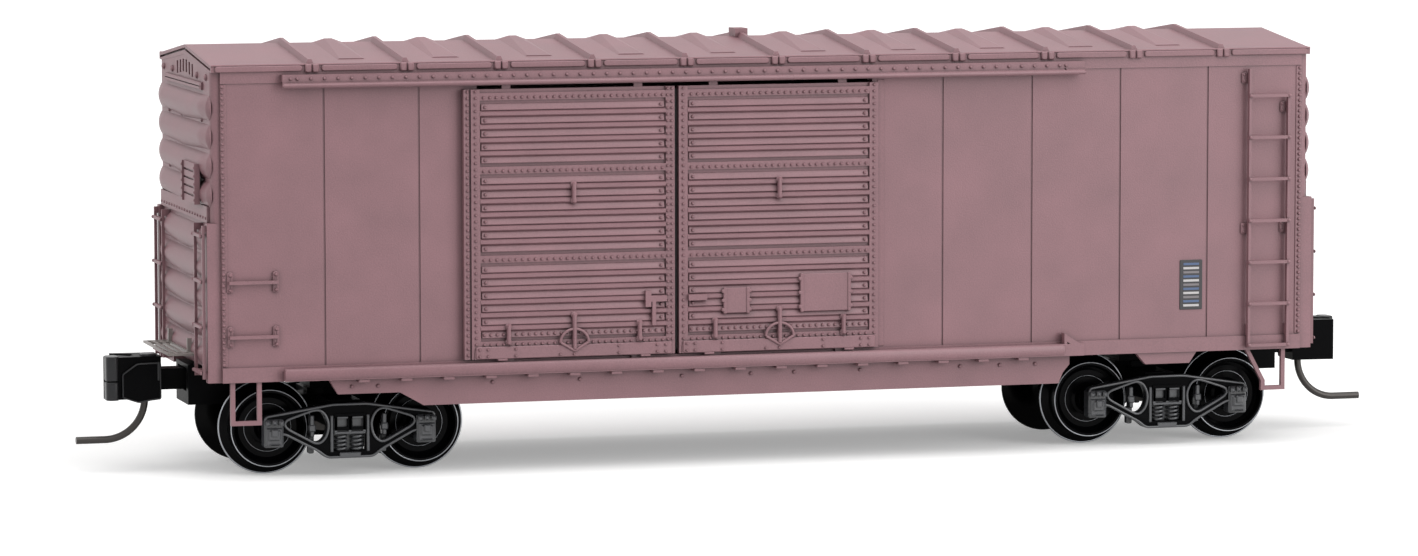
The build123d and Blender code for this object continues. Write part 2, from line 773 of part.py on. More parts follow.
def door_front(left, placards, edge_bar, latch_side):
    """A pressed door of stacked ribbed panels. latch_side is 1 where the latch is by its right edge, or -1."""
    right = left + door_width
    middle = left + door_width / 2
    back = side_face + door_clearance
    face = back + door_plate
    proud = face + door_rib_proud + hardware_proud
    stile_face = face + door_stile_proud
    height = (door_bottom, door_top)
    pieces = [block((left, right), (-face, -back), height)]
    for x in ((left, left + door_stile), (right - door_stile, right)):
        pieces.append(block(x, (-stile_face, -face), height))
    inner = (left + door_stile, right - door_stile)
    for drop in door_strip_drops:
        pieces.append(block(inner, (-face - door_strip_proud, -face), centred(door_top - drop, door_strip)))
    pieces += door_ribs(inner, face)
    low, high = left + door_rail_inset, right - door_rail_inset
    rail_top = door_bottom + door_rail_height
    shoulder = rail_top - door_rail_chamfer
    rail = [(low, door_bottom), (low, shoulder), (low + door_rail_chamfer, rail_top),
            (high - door_rail_chamfer, rail_top), (high, shoulder), (high, door_bottom)]
    pieces.append(prism_along_y(rail, -face - door_rail_proud, -face))
    if edge_bar:
        bar = block((left - door_edge_bar, left), (-stile_face, -back), height)
        pieces.append(bar - block((left - seam_width, left), (-stile_face, -face), height))
    tongue = (-side_face - door_tongue_front, -side_face - door_tongue_back)
    tongue_height = (door_top, upper_track_roof - door_tongue_gap)
    foot = (-side_face - door_tongue_front, -sill_face - door_clearance)
    foot_height = (lower_track_ledge + track_clearance, door_bottom)
    for x in centred(middle, 2 * door_foot_offset):
        pieces.append(block(centred(x, door_hanger_length), tongue, tongue_height))
        pieces.append(block(centred(x, door_foot_length), foot, foot_height))
    uprights = [(middle, door_top - handle_drop, handle_height), (middle, door_bottom + lever_rise, lever_height)]
    for x in centred(middle, 2 * door_bracket_offset):
        uprights.append((x, door_bottom + door_bracket_rise, door_bracket_height))
    for x, bottom, length in uprights:
        pieces.append(block(centred(x, bar_width), (-proud, -face), (bottom, bottom + length)))
    pieces += door_latch(inner[1] if latch_side > 0 else inner[0], latch_side, (-proud, -face))
    for board_left, rise, width, length in placards:
        x, z = middle + board_left, door_bottom + rise
        pieces.append(block((x, x + width), (-face - door_rib_proud - placard_proud, -face), (z, z + length)))
    return joined(pieces)


def door_latch(x, side, depth):
    """The latch at a door's meeting edge: a keeper, with a guide and a hanging crank where side is 1."""
    z = door_bottom + latch_rise
    pieces = [block((x - side * latch_length, x), depth, centred(z, latch_bar))]
    if side > 0:
        guide = x - latch_length
        pieces.append(block(centred(guide, latch_bar), depth, centred(z, latch_guide)))
        crank = guide + latch_bar
        pieces.append(block(centred(crank, bar_width), depth, (z - latch_crank, z)))
    return pieces


def side_ladder_front():
    """The ladder at the right of the front side, held off the sheet by tabs; its right stile is the shorter."""
    back = side_face + side_ladder_standoff
    front = back + side_ladder_depth
    top, bottom = wall_top - side_ladder_top_gap, sill_bottom + side_ladder_bottom_gap
    lowest, highest = bottom + side_ladder_foot, top - side_ladder_head
    right = side_half - side_ladder_inset
    left = right - side_ladder_width
    pieces = []
    short_top = highest + rung_width / 2
    for x, stile_top, drops in ((left, top, left_stile_tabs), (right, short_top, right_stile_tabs)):
        pieces.append(block(centred(x, ladder_stile), (-front, -back), (bottom, stile_top)))
        for drop in drops:
            tab = (top - drop - side_ladder_tab, top - drop)
            pieces.append(block(centred(x, ladder_stile), (-back, -side_face), tab))
    for i in range(side_ladder_rungs):
        z = lowest + i * (highest - lowest) / (side_ladder_rungs - 1)
        start, stop = left - rung_width / 2, right + rung_width / 2
        pieces.append(square_bar((start, -front, z), (stop, -front, z), rung_width))
    return joined(pieces)


def end_ladder(side):
    """The short ladder at one corner of the left end."""
    back = end_face + end_ladder_standoff
    front = back + end_ladder_depth
    top, bottom = end_seam - end_ladder_top_gap, sill_bottom + end_ladder_bottom_gap
    outer = side_face - end_ladder_inset
    inner = outer - end_ladder_width
    pieces = []
    for place, foot in ((inner, end_face), (outer, end_face + end_post_depth)):
        y = centred(side * place, ladder_stile)
        pieces.append(block((-front, -back), y, (bottom, top)))
        for z in (bottom, top - end_ladder_tab):
            pieces.append(block((-back, -foot), y, (z, z + end_ladder_tab)))
    lowest, highest = bottom + end_ladder_foot, top - end_ladder_head
    for i in range(end_ladder_rungs):
        z = lowest + i * (highest - lowest) / (end_ladder_rungs - 1)
        pieces.append(square_bar((-front, side * inner, z), (-front, side * outer, z), rung_width))
    return joined(pieces)


def end_ladders_left():
    return Compound(children=[end_ladder(-1), end_ladder(1)])


def grab_irons_front():
    """Two grab irons at the left of the front side, each on two bolted feet."""
    left = grab_inset - side_half
    right = left + grab_length
    bar = side_face + grab_standoff
    irons = []
    for rise in grab_rises:
        z = sill_bottom + rise
        pieces = [square_bar((left, -bar, z), (right, -bar, z), rung_width)]
        for x in (left, right):
            pieces.append(block(centred(x, grab_foot_width), (-side_face - grab_foot_depth, -side_face),
                                centred(z, grab_foot_height)))
            pieces.append(square_bar((x, -side_face, z), (x, -bar - rung_width / 2, z), rung_width))
        irons.append(joined(pieces))
    return Compound(children=irons)


def steps_front():
    """The stirrup steps under the front side: square at the left, with one slanting leg at the right."""
    depth = (-side_face, step_bar - side_face)
    foot = sill_bottom - step_drop
    tread = foot + step_bar
    left = left_step_inset - side_half
    right = left + left_step_width
    outer = [(left, sill_bottom), (left, foot), (right, foot), (right, sill_bottom)]
    inner = [(left + step_bar, sill_bottom), (left + step_bar, tread), (right - step_bar, tread),
             (right - step_bar, sill_bottom)]
    square = prism_along_y(outer, *depth) - prism_along_y(inner, *depth)
    right = side_half - right_step_inset
    left = right - right_step_width
    top, bend = left - right_step_slant, foot + right_step_bend
    outer = [(top, sill_bottom), (left, bend), (left, foot), (right, foot), (right, sill_bottom)]
    inner = [(top + step_bar, sill_bottom), (left + step_bar, bend), (left + step_bar, tread),
             (right - step_bar, tread), (right - step_bar, sill_bottom)]
    slanted = prism_along_y(outer, *depth) - prism_along_y(inner, *depth)
    return Compound(children=[square, slanted])


def platform_left():
    """The slatted crossover platform over the left coupler, on two brackets from the end's lowest rib."""
    height = (platform_bottom, platform_top)
    width = (-platform_half_width, platform_half_width)
    pitch = (platform_depth - platform_slat) / (platform_slats - 1)
    pieces = []
    for i in range(platform_slats):
        x = i * pitch - platform_outer
        pieces.append(block((x, x + platform_slat), width, height))
    edge = platform_half_width - platform_bearer / 2
    for y in (-edge, edge):
        pieces.append(block((-platform_outer, -platform_inner), centred(y, platform_bearer), height))
    bracket_top = platform_top + platform_bracket_rise
    web = rib_face + platform_bearer
    outline = [(-platform_outer, platform_top), (-platform_outer, platform_bottom), (-rib_face, platform_bottom),
               (-rib_face, bracket_top), (-web, bracket_top), (-web, platform_top)]
    for y in (-platform_bracket_place, platform_bracket_place):
        pieces.append(prism_along_y(outline, *centred(y, platform_bearer)))
    return joined(pieces)


def brake_case_right():
    """The hand brake's gear case on the right-hand end, with its rod down to the platform."""
    y, z = brake_wheel_place, end_seam + brake_wheel_rise
    front = rib_face + brake_case_depth
    case = block((rib_face, front), centred(y, brake_case_width), centred(z, brake_case_height))
    case = chamfer(case.edges().filter_by(Axis.X), brake_case_chamfer)
    shaft = square_bar((front, y, z), (front + brake_wheel_gap, y, z), brake_shaft)
    rod_x = rib_face + brake_rod / 2
    chain_rod = square_bar((rod_x, y, z - brake_case_height / 2), (rod_x, y, platform_top), brake_rod)
    return joined([case, shaft, chain_rod])


def brake_wheel_right():
    """The hand brake's spoked wheel."""
    y, z = brake_wheel_place, end_seam + brake_wheel_rise
    back = rib_face + brake_case_depth + brake_wheel_gap
    front = back + brake_wheel_rim
    inner = brake_wheel_radius - brake_wheel_rim
    whole, hole = (prism_along_x(round_points(brake_wheel_sides, radius, (y, z)), back, front)
                   for radius in (brake_wheel_radius, inner))
    pieces = [whole - hole, square_bar((back, y, z), (front, y, z), brake_wheel_hub)]
    middle = (back + front) / 2
    for i in range(brake_wheel_spokes):
        spoke = square_bar((middle, 0, 0), (middle, 0, inner), brake_wheel_spoke)
        pieces.append(Pos(0, y, z) * Rot(i * 360 / brake_wheel_spokes, 0, 0) * spoke)
    return joined(pieces)


def wheelset(x):
    """An axle with its two flanged wheels, turned in one piece."""
    back, front = wheel_back, wheel_back + wheel_width
    half = [(0, axle_radius), (back, axle_radius), (back, tread_radius + flange_height),
            (back + flange_width, tread_radius), (front, tread_radius), (front, tread_radius - rim_width),
            (front - wheel_dish, journal_radius), (axle_tip, journal_radius), (axle_tip, 0)]
    profile = [(-a, r) for a, r in reversed(half)] + half[1:]
    return spun(profile, (x, 0, axle_height), (0, 1, 0))


def sideframe(side):
    """One cast side of the left truck: arched top, windows, springs, journal boxes and brake hangers."""
    across = (side * frame_inner, side * frame_outer)
    half = wheelbase / 2
    box_inner, box_outer = centred(half, journal_box_width)
    right = [(frame_top_half, frame_rise), (box_inner, frame_arm_rise), (box_outer, frame_end_rise),
             (box_outer, -frame_end_drop), (box_inner, -frame_arm_drop), (frame_foot_half, -frame_foot_drop)]
    outline = [(x, axle_height + z) for x, z in right + [(-x, z) for x, z in reversed(right)]]
    cuts = []
    for flip in (-1, 1):
        window = [(flip * share * half, axle_height + z) for share, z in frame_window]
        cuts.append(prism_along_y(window, *across))
    spring_room = truck_bolster_half + bolster_clearance
    arch = truck_bolster_end_top + bolster_clearance
    cuts.append(block((-spring_room, spring_room), across, (spring_seat, arch)))
    pieces = [prism_along_y(outline, *across).cut(*cuts)]
    hanger_y = (side * frame_inner, side * (frame_inner - brake_hanger_depth))
    hanger_z = (axle_height - brake_hanger_drop, axle_height + brake_hanger_rise)
    for flip in (-1, 1):
        pieces.append(spring(flip * spring_spacing / 2, side))
        pieces += journal(flip * half, side)
        pieces.append(block(centred(flip * brake_hanger_place, brake_hanger_width), hanger_y, hanger_z))
    socket = 2 * (journal_radius + journal_clearance)
    depth = (side * frame_inner, side * (axle_tip + axle_end_play))
    sockets = [block(centred(x, socket), depth, centred(axle_height, socket)) for x in (-half, half)]
    return Pos(-truck_centre, 0, 0) * joined(pieces).cut(*sockets)


def spring(x, side):
    """A coil spring in relief, as a stack of ridges between the frame and the bolster."""
    pitch = (truck_bolster_bottom - spring_seat) / spring_turns
    middle = (frame_inner + frame_outer) / 2
    ridge, valley = middle + spring_radius, middle + spring_radius - spring_wire
    outline = [(side * frame_inner, truck_bolster_bottom), (side * frame_inner, spring_seat)]
    for i in range(spring_turns):
        z = spring_seat + i * pitch
        outline += [(side * valley, z), (side * ridge, z + pitch / 2)]
    outline.append((side * valley, truck_bolster_bottom))
    return prism_along_x(outline, x - spring_radius, x + spring_radius)


def journal(x, side):
    """A journal box with its hinged lid."""
    outer = side * (frame_inner + journal_box_depth)
    bottom, top = axle_height - journal_box_drop, axle_height + journal_box_rise
    box = block(centred(x, journal_box_width), (side * frame_inner, outer), (bottom, top))
    hinge_z = top - journal_lid_margin - journal_hinge / 2
    lid_height = (bottom + journal_lid_margin, hinge_z)
    lid = block(centred(x, journal_lid_width), (outer, outer + side * journal_lid), lid_height)
    left, right = centred(x, journal_hinge_width)
    return [box, lid, square_bar((left, outer, hinge_z), (right, outer, hinge_z), journal_hinge)]


def sideframes_left():
    return Compound(children=[sideframe(-1), sideframe(1)])


def truck_bolster_left():
    """The beam across the left truck, with its centre plate and the arm out to the coupler pocket."""
    bottom = truck_bolster_bottom
    across = (-truck_bolster_half, truck_bolster_half)
    raised = frame_inner - truck_bolster_shoulder
    pieces = [block(across, (-frame_outer, frame_outer), (bottom, truck_bolster_end_top)),
              block(across, (-raised, raised), (bottom, truck_bolster_top)),
              prism_along_z(round_points(centre_plate_sides, centre_plate_radius), bottom, centre_plate_top),
              block((truck_centre - pocket_back, 0), (-pocket_arm_half, pocket_arm_half),
                    (truck_bolster_top - pocket_arm_depth, truck_bolster_top))]
    cuts = [rod((0, 0, bottom), (0, 0, centre_plate_top), kingpin_radius + kingpin_clearance)]
    height = (bottom + bolster_pocket_margin, truck_bolster_end_top - bolster_pocket_margin)
    for side in (-1, 1):
        depth = (side * (frame_outer - bolster_pocket_depth), side * frame_outer)
        for x in centred(0, spring_spacing):
            cuts.append(block(centred(x, bolster_pocket_width), depth, height))
    return Pos(-truck_centre, 0, 0) * joined(pieces).cut(*cuts)


def coupler_pocket_left():
    """The open-topped box that holds the left coupler, with the post that it swings on."""
    inside = pocket_half - pocket_wall
    walls = block((-pocket_front, -pocket_back), (-pocket_half, pocket_half), (pocket_bottom, pocket_top))
    cavity = block((-pocket_front, -pocket_back - pocket_wall), (-inside, inside), (pocket_floor, pocket_top))
    post = round_points(coupler_post_sides, coupler_post_radius, (-coupler_pivot, 0))
    return joined([walls - cavity, prism_along_z(post, pocket_floor, pocket_top)])


def coupler_lid_left():
    """The lid that closes the left coupler pocket."""
    height = (pocket_top, pocket_top + pocket_lid)
    return block((-pocket_front, -pocket_back), (-pocket_half, pocket_half), height)


def coupler_half(low, high, shank_low, shank_high):
    """The part of the left coupler between two heights, without its trip pin."""
    head = prism_along_z([(behind - knuckle_front, y) for behind, y in coupler_plan], low, high)
    shank_end = coupler_pivot - coupler_post_radius - shank_wall
    shank = block((-head_back - head_lap, -shank_end), (-shank_half, shank_half), (shank_low, shank_high))
    hole = rod((-coupler_pivot, 0, low), (-coupler_pivot, 0, high), coupler_post_radius + coupler_post_clearance)
    return joined([head, shank]).cut(hole)


def coupler_upper_left():
    return coupler_half(coupler_height, coupler_top, coupler_height, coupler_height + shank_depth)


def coupler_lower_left():
    return coupler_half(coupler_bottom, coupler_height, coupler_height - shank_depth, coupler_height)


def trip_pin_left():
    """The bent steel pin that hangs from the left coupler."""
    x = -head_back - trip_pin_inset
    bend_top = coupler_bottom - trip_pin_straight
    radius = bend_top - trip_pin_bottom
    shank = Line((x, 0, coupler_bottom), (x, 0, bend_top))
    centre = Plane(origin=(x - radius, 0, bend_top), x_dir=(1, 0, 0), z_dir=(0, 1, 0))
    bend = centre * CenterArc((0, 0), radius, 0, 90)
    foot = Line((x - radius, 0, trip_pin_bottom), (x - radius - trip_pin_foot, 0, trip_pin_bottom))
    start = Plane(origin=(x, 0, coupler_bottom), z_dir=(0, 0, -1))
    return sweep(start * RegularPolygon(trip_pin_radius, trip_pin_sides), path=Wire([shank, bend, foot]))


def export(name, shape):
    export_step(shape, f"parts/{name}.step")


os.makedirs("parts", exist_ok=True)

front_pieces = {
    "side_wall": side_wall_front(),
    "side_sill": side_sill_front(),
    "upper_track": upper_track_front(),
    "lower_track": lower_track_front(),
    "door_left": door_front(left_door_start, (), True, 1),
    "door_right": door_front(right_door_start, placard_boards, False, -1),
    "side_ladder": side_ladder_front(),
    "grab_irons": grab_irons_front(),
    "steps": steps_front(),
}
left_pieces = {
    "end": end_left(),
    "tack_board": tack_board_left(),
    "end_ladders": end_ladders_left(),
    "platform": platform_left(),
    "kingpin": kingpin(-truck_centre),
    "sideframes": sideframes_left(),
    "truck_bolster": truck_bolster_left(),
    "coupler_pocket": coupler_pocket_left(),
    "coupler_lid": coupler_lid_left(),
    "coupler_upper": coupler_upper_left(),
    "coupler_lower": coupler_lower_left(),
    "trip_pin": trip_pin_left(),
    "wheelset_outer": wheelset(-truck_centre - wheelbase / 2),
    "wheelset_inner": wheelset(-truck_centre + wheelbase / 2),
}
single_pieces = {
    "roof": roof(),
    "floor_plate": floor_plate(),
    "body_bolsters": body_bolsters(),
    "centre_sill": centre_sill(),
    "crossbearers": crossbearers(),
    "steel_weight": steel_weight(),
    "brake_gear": brake_gear(),
    "brake_case": brake_case_right(),
    "brake_wheel": brake_wheel_right(),
}
for name, shape in front_pieces.items():
    export(f"{name}_front", shape)
    export(f"{name}_rear", half_turn(shape))
for name, shape in left_pieces.items():
    export(f"{name}_left", shape)
    export(f"{name}_right", half_turn(shape))
for name, shape in single_pieces.items():
    export(name, shape)
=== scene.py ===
"""Looks of the model boxcar: a finish on every solid, and the fine detail that rides on the solids.

Sizes are millimetres in the part's own frame, and become metres where a mesh is made. Detail is modelled
at the front and the left of the car and turned half round for its twin, as the part itself is. A pair
that ends in _edge is a chamfer and a corner radius, one in _head a rivet's radius and height, and one in
_size a width and a height.
"""

from __future__ import annotations

import json
import logging
import math
from dataclasses import dataclass
from enum import Enum

import bpy
import numpy as np
from mathutils import Matrix, Vector

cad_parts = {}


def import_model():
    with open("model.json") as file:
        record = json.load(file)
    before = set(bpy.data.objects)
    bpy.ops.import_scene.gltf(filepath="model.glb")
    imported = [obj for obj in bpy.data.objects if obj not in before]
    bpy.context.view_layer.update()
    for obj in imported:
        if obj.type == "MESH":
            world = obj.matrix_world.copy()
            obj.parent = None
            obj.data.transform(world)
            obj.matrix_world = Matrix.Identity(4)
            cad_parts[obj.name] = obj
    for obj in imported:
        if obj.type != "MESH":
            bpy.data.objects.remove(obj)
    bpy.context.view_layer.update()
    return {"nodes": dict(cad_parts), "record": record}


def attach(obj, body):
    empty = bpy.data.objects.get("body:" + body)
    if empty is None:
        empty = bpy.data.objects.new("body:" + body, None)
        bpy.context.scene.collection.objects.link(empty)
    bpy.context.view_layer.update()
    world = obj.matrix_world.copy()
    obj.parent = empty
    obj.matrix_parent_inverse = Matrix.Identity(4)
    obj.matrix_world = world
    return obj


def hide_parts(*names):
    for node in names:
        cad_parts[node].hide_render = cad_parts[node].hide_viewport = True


MM = 0.001
LOG = logging.getLogger("boxcar")
EDGE_SHARE = 0.45
LEAST_CORNER = 0.01
WELD_DECIMALS = 5
CLOUD_SHARE = 0.03
BUMP_STRENGTH = 0.6
# Painted shade: the darker tone in grooves, as a share of a finish's colour.
SHADE_SHARE = 0.12
Pair = tuple[float, float]
Triple = tuple[float, float, float]
Places = tuple[float, ...]
Corners = tuple[Pair, ...]


class Facing(Enum):
    """Which way a flat face looks: its across, up and outward axes."""

    FRONT = ((1, 0, 0), (0, 0, 1), (0, -1, 0))
    LEFT = ((0, -1, 0), (0, 0, 1), (-1, 0, 0))
    UP = ((1, 0, 0), (0, 1, 0), (0, 0, 1))
    DOWN = ((1, 0, 0), (0, -1, 0), (0, 0, -1))

    def place(self, local: np.ndarray) -> np.ndarray:
        """Points given as across, up and outward become points of the car."""
        return np.asarray(local, float) @ np.array(self.value, float)


@dataclass(frozen=True)
class Shape:
    """Points in millimetres, and faces as arrays of point numbers, one array for each face size."""

    points: np.ndarray
    faces: tuple[np.ndarray, ...]

    def copies(self, offsets: np.ndarray) -> Shape:
        """The shape repeated at each offset."""
        offsets = np.asarray(offsets, float).reshape(-1, 3)
        points = (self.points[None] + offsets[:, None]).reshape(-1, 3)
        shift = (np.arange(len(offsets)) * len(self.points))[:, None, None]
        return Shape(points, tuple((f[None] + shift).reshape(-1, f.shape[1]) for f in self.faces))

    def mapped(self, facing: Facing) -> Shape:
        """The shape, drawn in across, up and outward, set on a face of the car."""
        return Shape(facing.place(self.points), self.faces)

    def moved(self, x: float = 0.0, y: float = 0.0, z: float = 0.0) -> Shape:
        """The shape carried by a distance along each axis."""
        return Shape(self.points + np.array((x, y, z)), self.faces)

    def half_turn(self) -> Shape:
        """The shape at the other end and on the other side of the car."""
        return Shape(self.points * np.array((-1.0, -1.0, 1.0)), self.faces)


def joined(shapes: list[Shape]) -> Shape:
    """Several shapes as one, their points one after another.

    Args:
        shapes: The shapes to put together.

    Returns:
        One shape with all their points and faces.
    """
    starts = np.cumsum([0] + [len(s.points) for s in shapes[:-1]])
    faces = tuple(f + start for s, start in zip(shapes, starts) for f in s.faces)
    return Shape(np.concatenate([s.points for s in shapes]), faces)


def closed_rings(rings: np.ndarray) -> Shape:
    """A closed skin over a stack of rings: quads between neighbours and one face over each end.

    Args:
        rings: Array of rings, points of a ring, three places; a ring turns left round the stack's way.

    Returns:
        The closed shape.
    """
    count, sides = rings.shape[:2]
    number = np.arange(count * sides).reshape(count, sides)
    after = np.roll(number, -1, axis=1)
    quads = np.stack((number[:-1], after[:-1], after[1:], number[1:]), axis=-1).reshape(-1, 4)
    caps = np.stack((number[0, ::-1], number[-1]))
    return Shape(rings.reshape(-1, 3), (quads, caps))


def rounded_rectangle(width: float, height: float, radius: float, steps: int = 3) -> np.ndarray:
    """A rectangle about the origin whose corners are quarter circles, as points turning left."""
    turn = np.radians(np.arange(4)[:, None] * 90 + np.linspace(0, 90, steps))
    reach = (width / 2 - radius, height / 2 - radius)
    corner = np.array(((1, 1), (-1, 1), (-1, -1), (1, -1)))[:, None] * reach
    return (corner + radius * np.stack((np.cos(turn), np.sin(turn)), axis=-1)).reshape(-1, 2)


def rounded_corners(points: np.ndarray, radius: float, steps: int = 5) -> np.ndarray:
    """A polygon with each corner replaced by a parabola that starts and ends a radius away along its edges.

    Args:
        points: Corners in order.
        radius: Distance from a corner to the ends of its curve, held to EDGE_SHARE of an edge.
        steps: Points on each curve.

    Returns:
        The points of the rounded polygon.
    """
    corner = np.asarray(points, float)
    back, ahead = np.roll(corner, 1, axis=0) - corner, np.roll(corner, -1, axis=0) - corner
    share = [np.minimum(radius / np.linalg.norm(edge, axis=1), EDGE_SHARE)[:, None]
             for edge in (back, ahead)]
    start, stop = corner + back * share[0], corner + ahead * share[1]
    s = np.linspace(0, 1, steps)[None, :, None]
    curve = (1 - s) ** 2 * start[:, None] + 2 * s * (1 - s) * corner[:, None] + s**2 * stop[:, None]
    return curve.reshape(-1, 2)


def pads(places: np.ndarray, width: float, height: float, base: float, top: float, facing: Facing,
         chamfer: float = 0.05, radius: float = 0.06) -> Shape:
    """Raised pads: a rounded rectangle carried outwards, and drawn in by a chamfer at its top.

    Args:
        places: Middles across and up.
        width: Size across.
        height: Size up.
        base: Where the pads start, outwards.
        top: Where they end.
        facing: The face they stand on.
        chamfer: How much the top edge is drawn in.
        radius: Of the corners.

    Returns:
        All the pads.
    """
    rings = []
    for level, inset in ((base, 0.0), (top - chamfer, 0.0), (top, chamfer)):
        corner = max(radius - inset / 2, LEAST_CORNER)
        outline = rounded_rectangle(width - 2 * inset, height - 2 * inset, corner)
        rings.append(np.column_stack((outline, np.full(len(outline), level))))
    places = np.asarray(places, float).reshape(-1, 2)
    offsets = np.column_stack((places, np.zeros(len(places))))
    return closed_rings(np.stack(rings)).copies(offsets).mapped(facing)


def rivets(places: np.ndarray, base: float, facing: Facing, radius: float = 0.1, height: float = 0.07,
           sides: int = 8) -> Shape:
    """Domed heads: rings that draw in as the dome rises.

    Args:
        places: Middles across and up.
        base: Where the heads start, outwards.
        facing: The face they stand on.
        radius: Of a head.
        height: Of a head.
        sides: Points round a head.

    Returns:
        All the heads.
    """
    turn = np.arange(sides) * 2 * np.pi / sides
    round_ = np.column_stack((np.cos(turn), np.sin(turn)))
    steps = ((1.0, -0.3), (0.92, 0.45), (0.5, 0.92))
    rings = [np.column_stack((round_ * radius * share, np.full(sides, base + height * rise)))
             for share, rise in steps]
    places = np.asarray(places, float).reshape(-1, 2)
    offsets = np.column_stack((places, np.zeros(len(places))))
    return closed_rings(np.stack(rings)).copies(offsets).mapped(facing)


def row(start: Pair, stop: Pair, pitch: float) -> np.ndarray:
    """Places spaced evenly, about a pitch apart, from start to stop with both ends."""
    count = max(int(round(math.dist(start, stop) / pitch)), 1) + 1
    return np.linspace(start, stop, count)


def crossed(across: Places, up: Places) -> np.ndarray:
    """Every place across at every height, as rows of the two."""
    return np.array([(x, z) for z in up for x in across], float)


def tube(path: np.ndarray, radius: float | np.ndarray, sides: int = 12, side: tuple = (0, 1, 0)) -> Shape:
    """A round bar: a circle carried square to a path.

    Args:
        path: Points that its middle follows.
        radius: One radius, or one for each point.
        sides: Points round the bar.
        side: A direction that the path never follows, which sets where each circle starts.

    Returns:
        The closed bar.
    """
    path = np.asarray(path, float)
    tangent = np.gradient(path, axis=0)
    tangent /= np.linalg.norm(tangent, axis=1, keepdims=True)
    first = np.cross(tangent, np.asarray(side, float))
    first /= np.linalg.norm(first, axis=1, keepdims=True)
    second = np.cross(tangent, first)
    turn = np.arange(sides) * 2 * np.pi / sides
    circle = np.cos(turn)[None, :, None] * first[:, None] + np.sin(turn)[None, :, None] * second[:, None]
    return closed_rings(path[:, None] + np.broadcast_to(radius, len(path))[:, None, None] * circle)


def turned(profile: np.ndarray, centre: Triple, axis: str, sides: int) -> np.ndarray:
    """The grid of a profile of distance along an axis and radius, turned about that axis."""
    basis = {"X": ((0, 1, 0), (0, 0, 1), (1, 0, 0)), "Y": ((0, 0, 1), (1, 0, 0), (0, 1, 0))}[axis]
    profile = np.asarray(profile, float)
    turn = np.arange(sides) * 2 * np.pi / sides
    local = np.empty((len(profile), sides, 3))
    local[..., 0] = profile[:, 1:] * np.cos(turn)
    local[..., 1] = profile[:, 1:] * np.sin(turn)
    local[..., 2] = profile[:, :1]
    return local @ np.array(basis, float) + np.array(centre, float)


def lathe(profile: np.ndarray, centre: Triple, axis: str = "Y", sides: int = 64) -> Shape:
    """A profile turned about an axis, with its two ends closed.

    Args:
        profile: Rows of distance along the axis and radius.
        centre: The axis passes here.
        axis: X or Y.
        sides: Points round the turn.

    Returns:
        The closed turned shape.
    """
    return closed_rings(turned(profile, centre, axis, sides))


def grown(points: np.ndarray, distance: float) -> np.ndarray:
    """A polygon that turns left, with each corner moved out along the mean of its two edges' normals."""
    points = np.asarray(points, float)
    along = np.roll(points, -1, axis=0) - np.roll(points, 1, axis=0)
    normal = np.column_stack((along[:, 1], -along[:, 0]))
    return points + distance * normal / np.linalg.norm(normal, axis=1, keepdims=True)


def ring(section: np.ndarray, centre: Triple, axis: str, sides: int = 72) -> Shape:
    """A closed section of distance along the axis and radius, turned about the axis and joined to itself.

    Args:
        section: Rows of distance and radius; its outer side runs along the axis.
        centre: The axis passes here.
        axis: X or Y.
        sides: Points round the turn.

    Returns:
        The closed ring.
    """
    grid = turned(section, centre, axis, sides)
    number = np.arange(grid.shape[0] * sides).reshape(-1, sides)
    after, above = np.roll(number, -1, axis=1), np.roll(number, -1, axis=0)
    quads = np.stack((number, after, np.roll(after, -1, axis=0), above), axis=-1)
    return Shape(grid.reshape(-1, 3), (quads.reshape(-1, 4),))


def casting(name: str, outlines: list[np.ndarray], thickness: float, bevel: float) -> Shape:
    """A flat plate with holes and rounded edges, from a filled flat curve.

    Args:
        name: For the curve while it exists.
        outlines: Closed polygons in across and up: first the outline, then its holes.
        thickness: Of the plate, which is centred on outward zero.
        bevel: Of its edges.

    Returns:
        The plate in across, up and outward.
    """
    curve = bpy.data.curves.new(name, "CURVE")
    curve.dimensions, curve.fill_mode = "2D", "BOTH"
    curve.extrude, curve.bevel_depth, curve.bevel_resolution = thickness / 2 - bevel, bevel, 2
    curve.offset = -bevel
    for outline in outlines:
        spline = curve.splines.new("POLY")
        spline.points.add(len(outline) - 1)
        flat = np.column_stack((outline, np.zeros(len(outline)), np.ones(len(outline))))
        spline.points.foreach_set("co", flat.ravel())
        spline.use_cyclic_u = True
    holder = bpy.data.objects.new(name, curve)
    mesh = bpy.data.meshes.new_from_object(holder)
    points = np.empty(len(mesh.vertices) * 3)
    mesh.vertices.foreach_get("co", points)
    sizes = np.empty(len(mesh.polygons), int)
    mesh.polygons.foreach_get("loop_total", sizes)
    corners = np.empty(len(mesh.loops), int)
    mesh.loops.foreach_get("vertex_index", corners)
    starts = np.concatenate(([0], np.cumsum(sizes)[:-1]))
    faces = tuple(corners[starts[sizes == k][:, None] + np.arange(k)] for k in np.unique(sizes))
    bpy.data.objects.remove(holder)
    bpy.data.curves.remove(curve)
    bpy.data.meshes.remove(mesh)
    points, same = np.unique(points.reshape(-1, 3).round(WELD_DECIMALS), axis=0, return_inverse=True)
    return Shape(points, tuple(same.reshape(-1)[face] for face in faces))


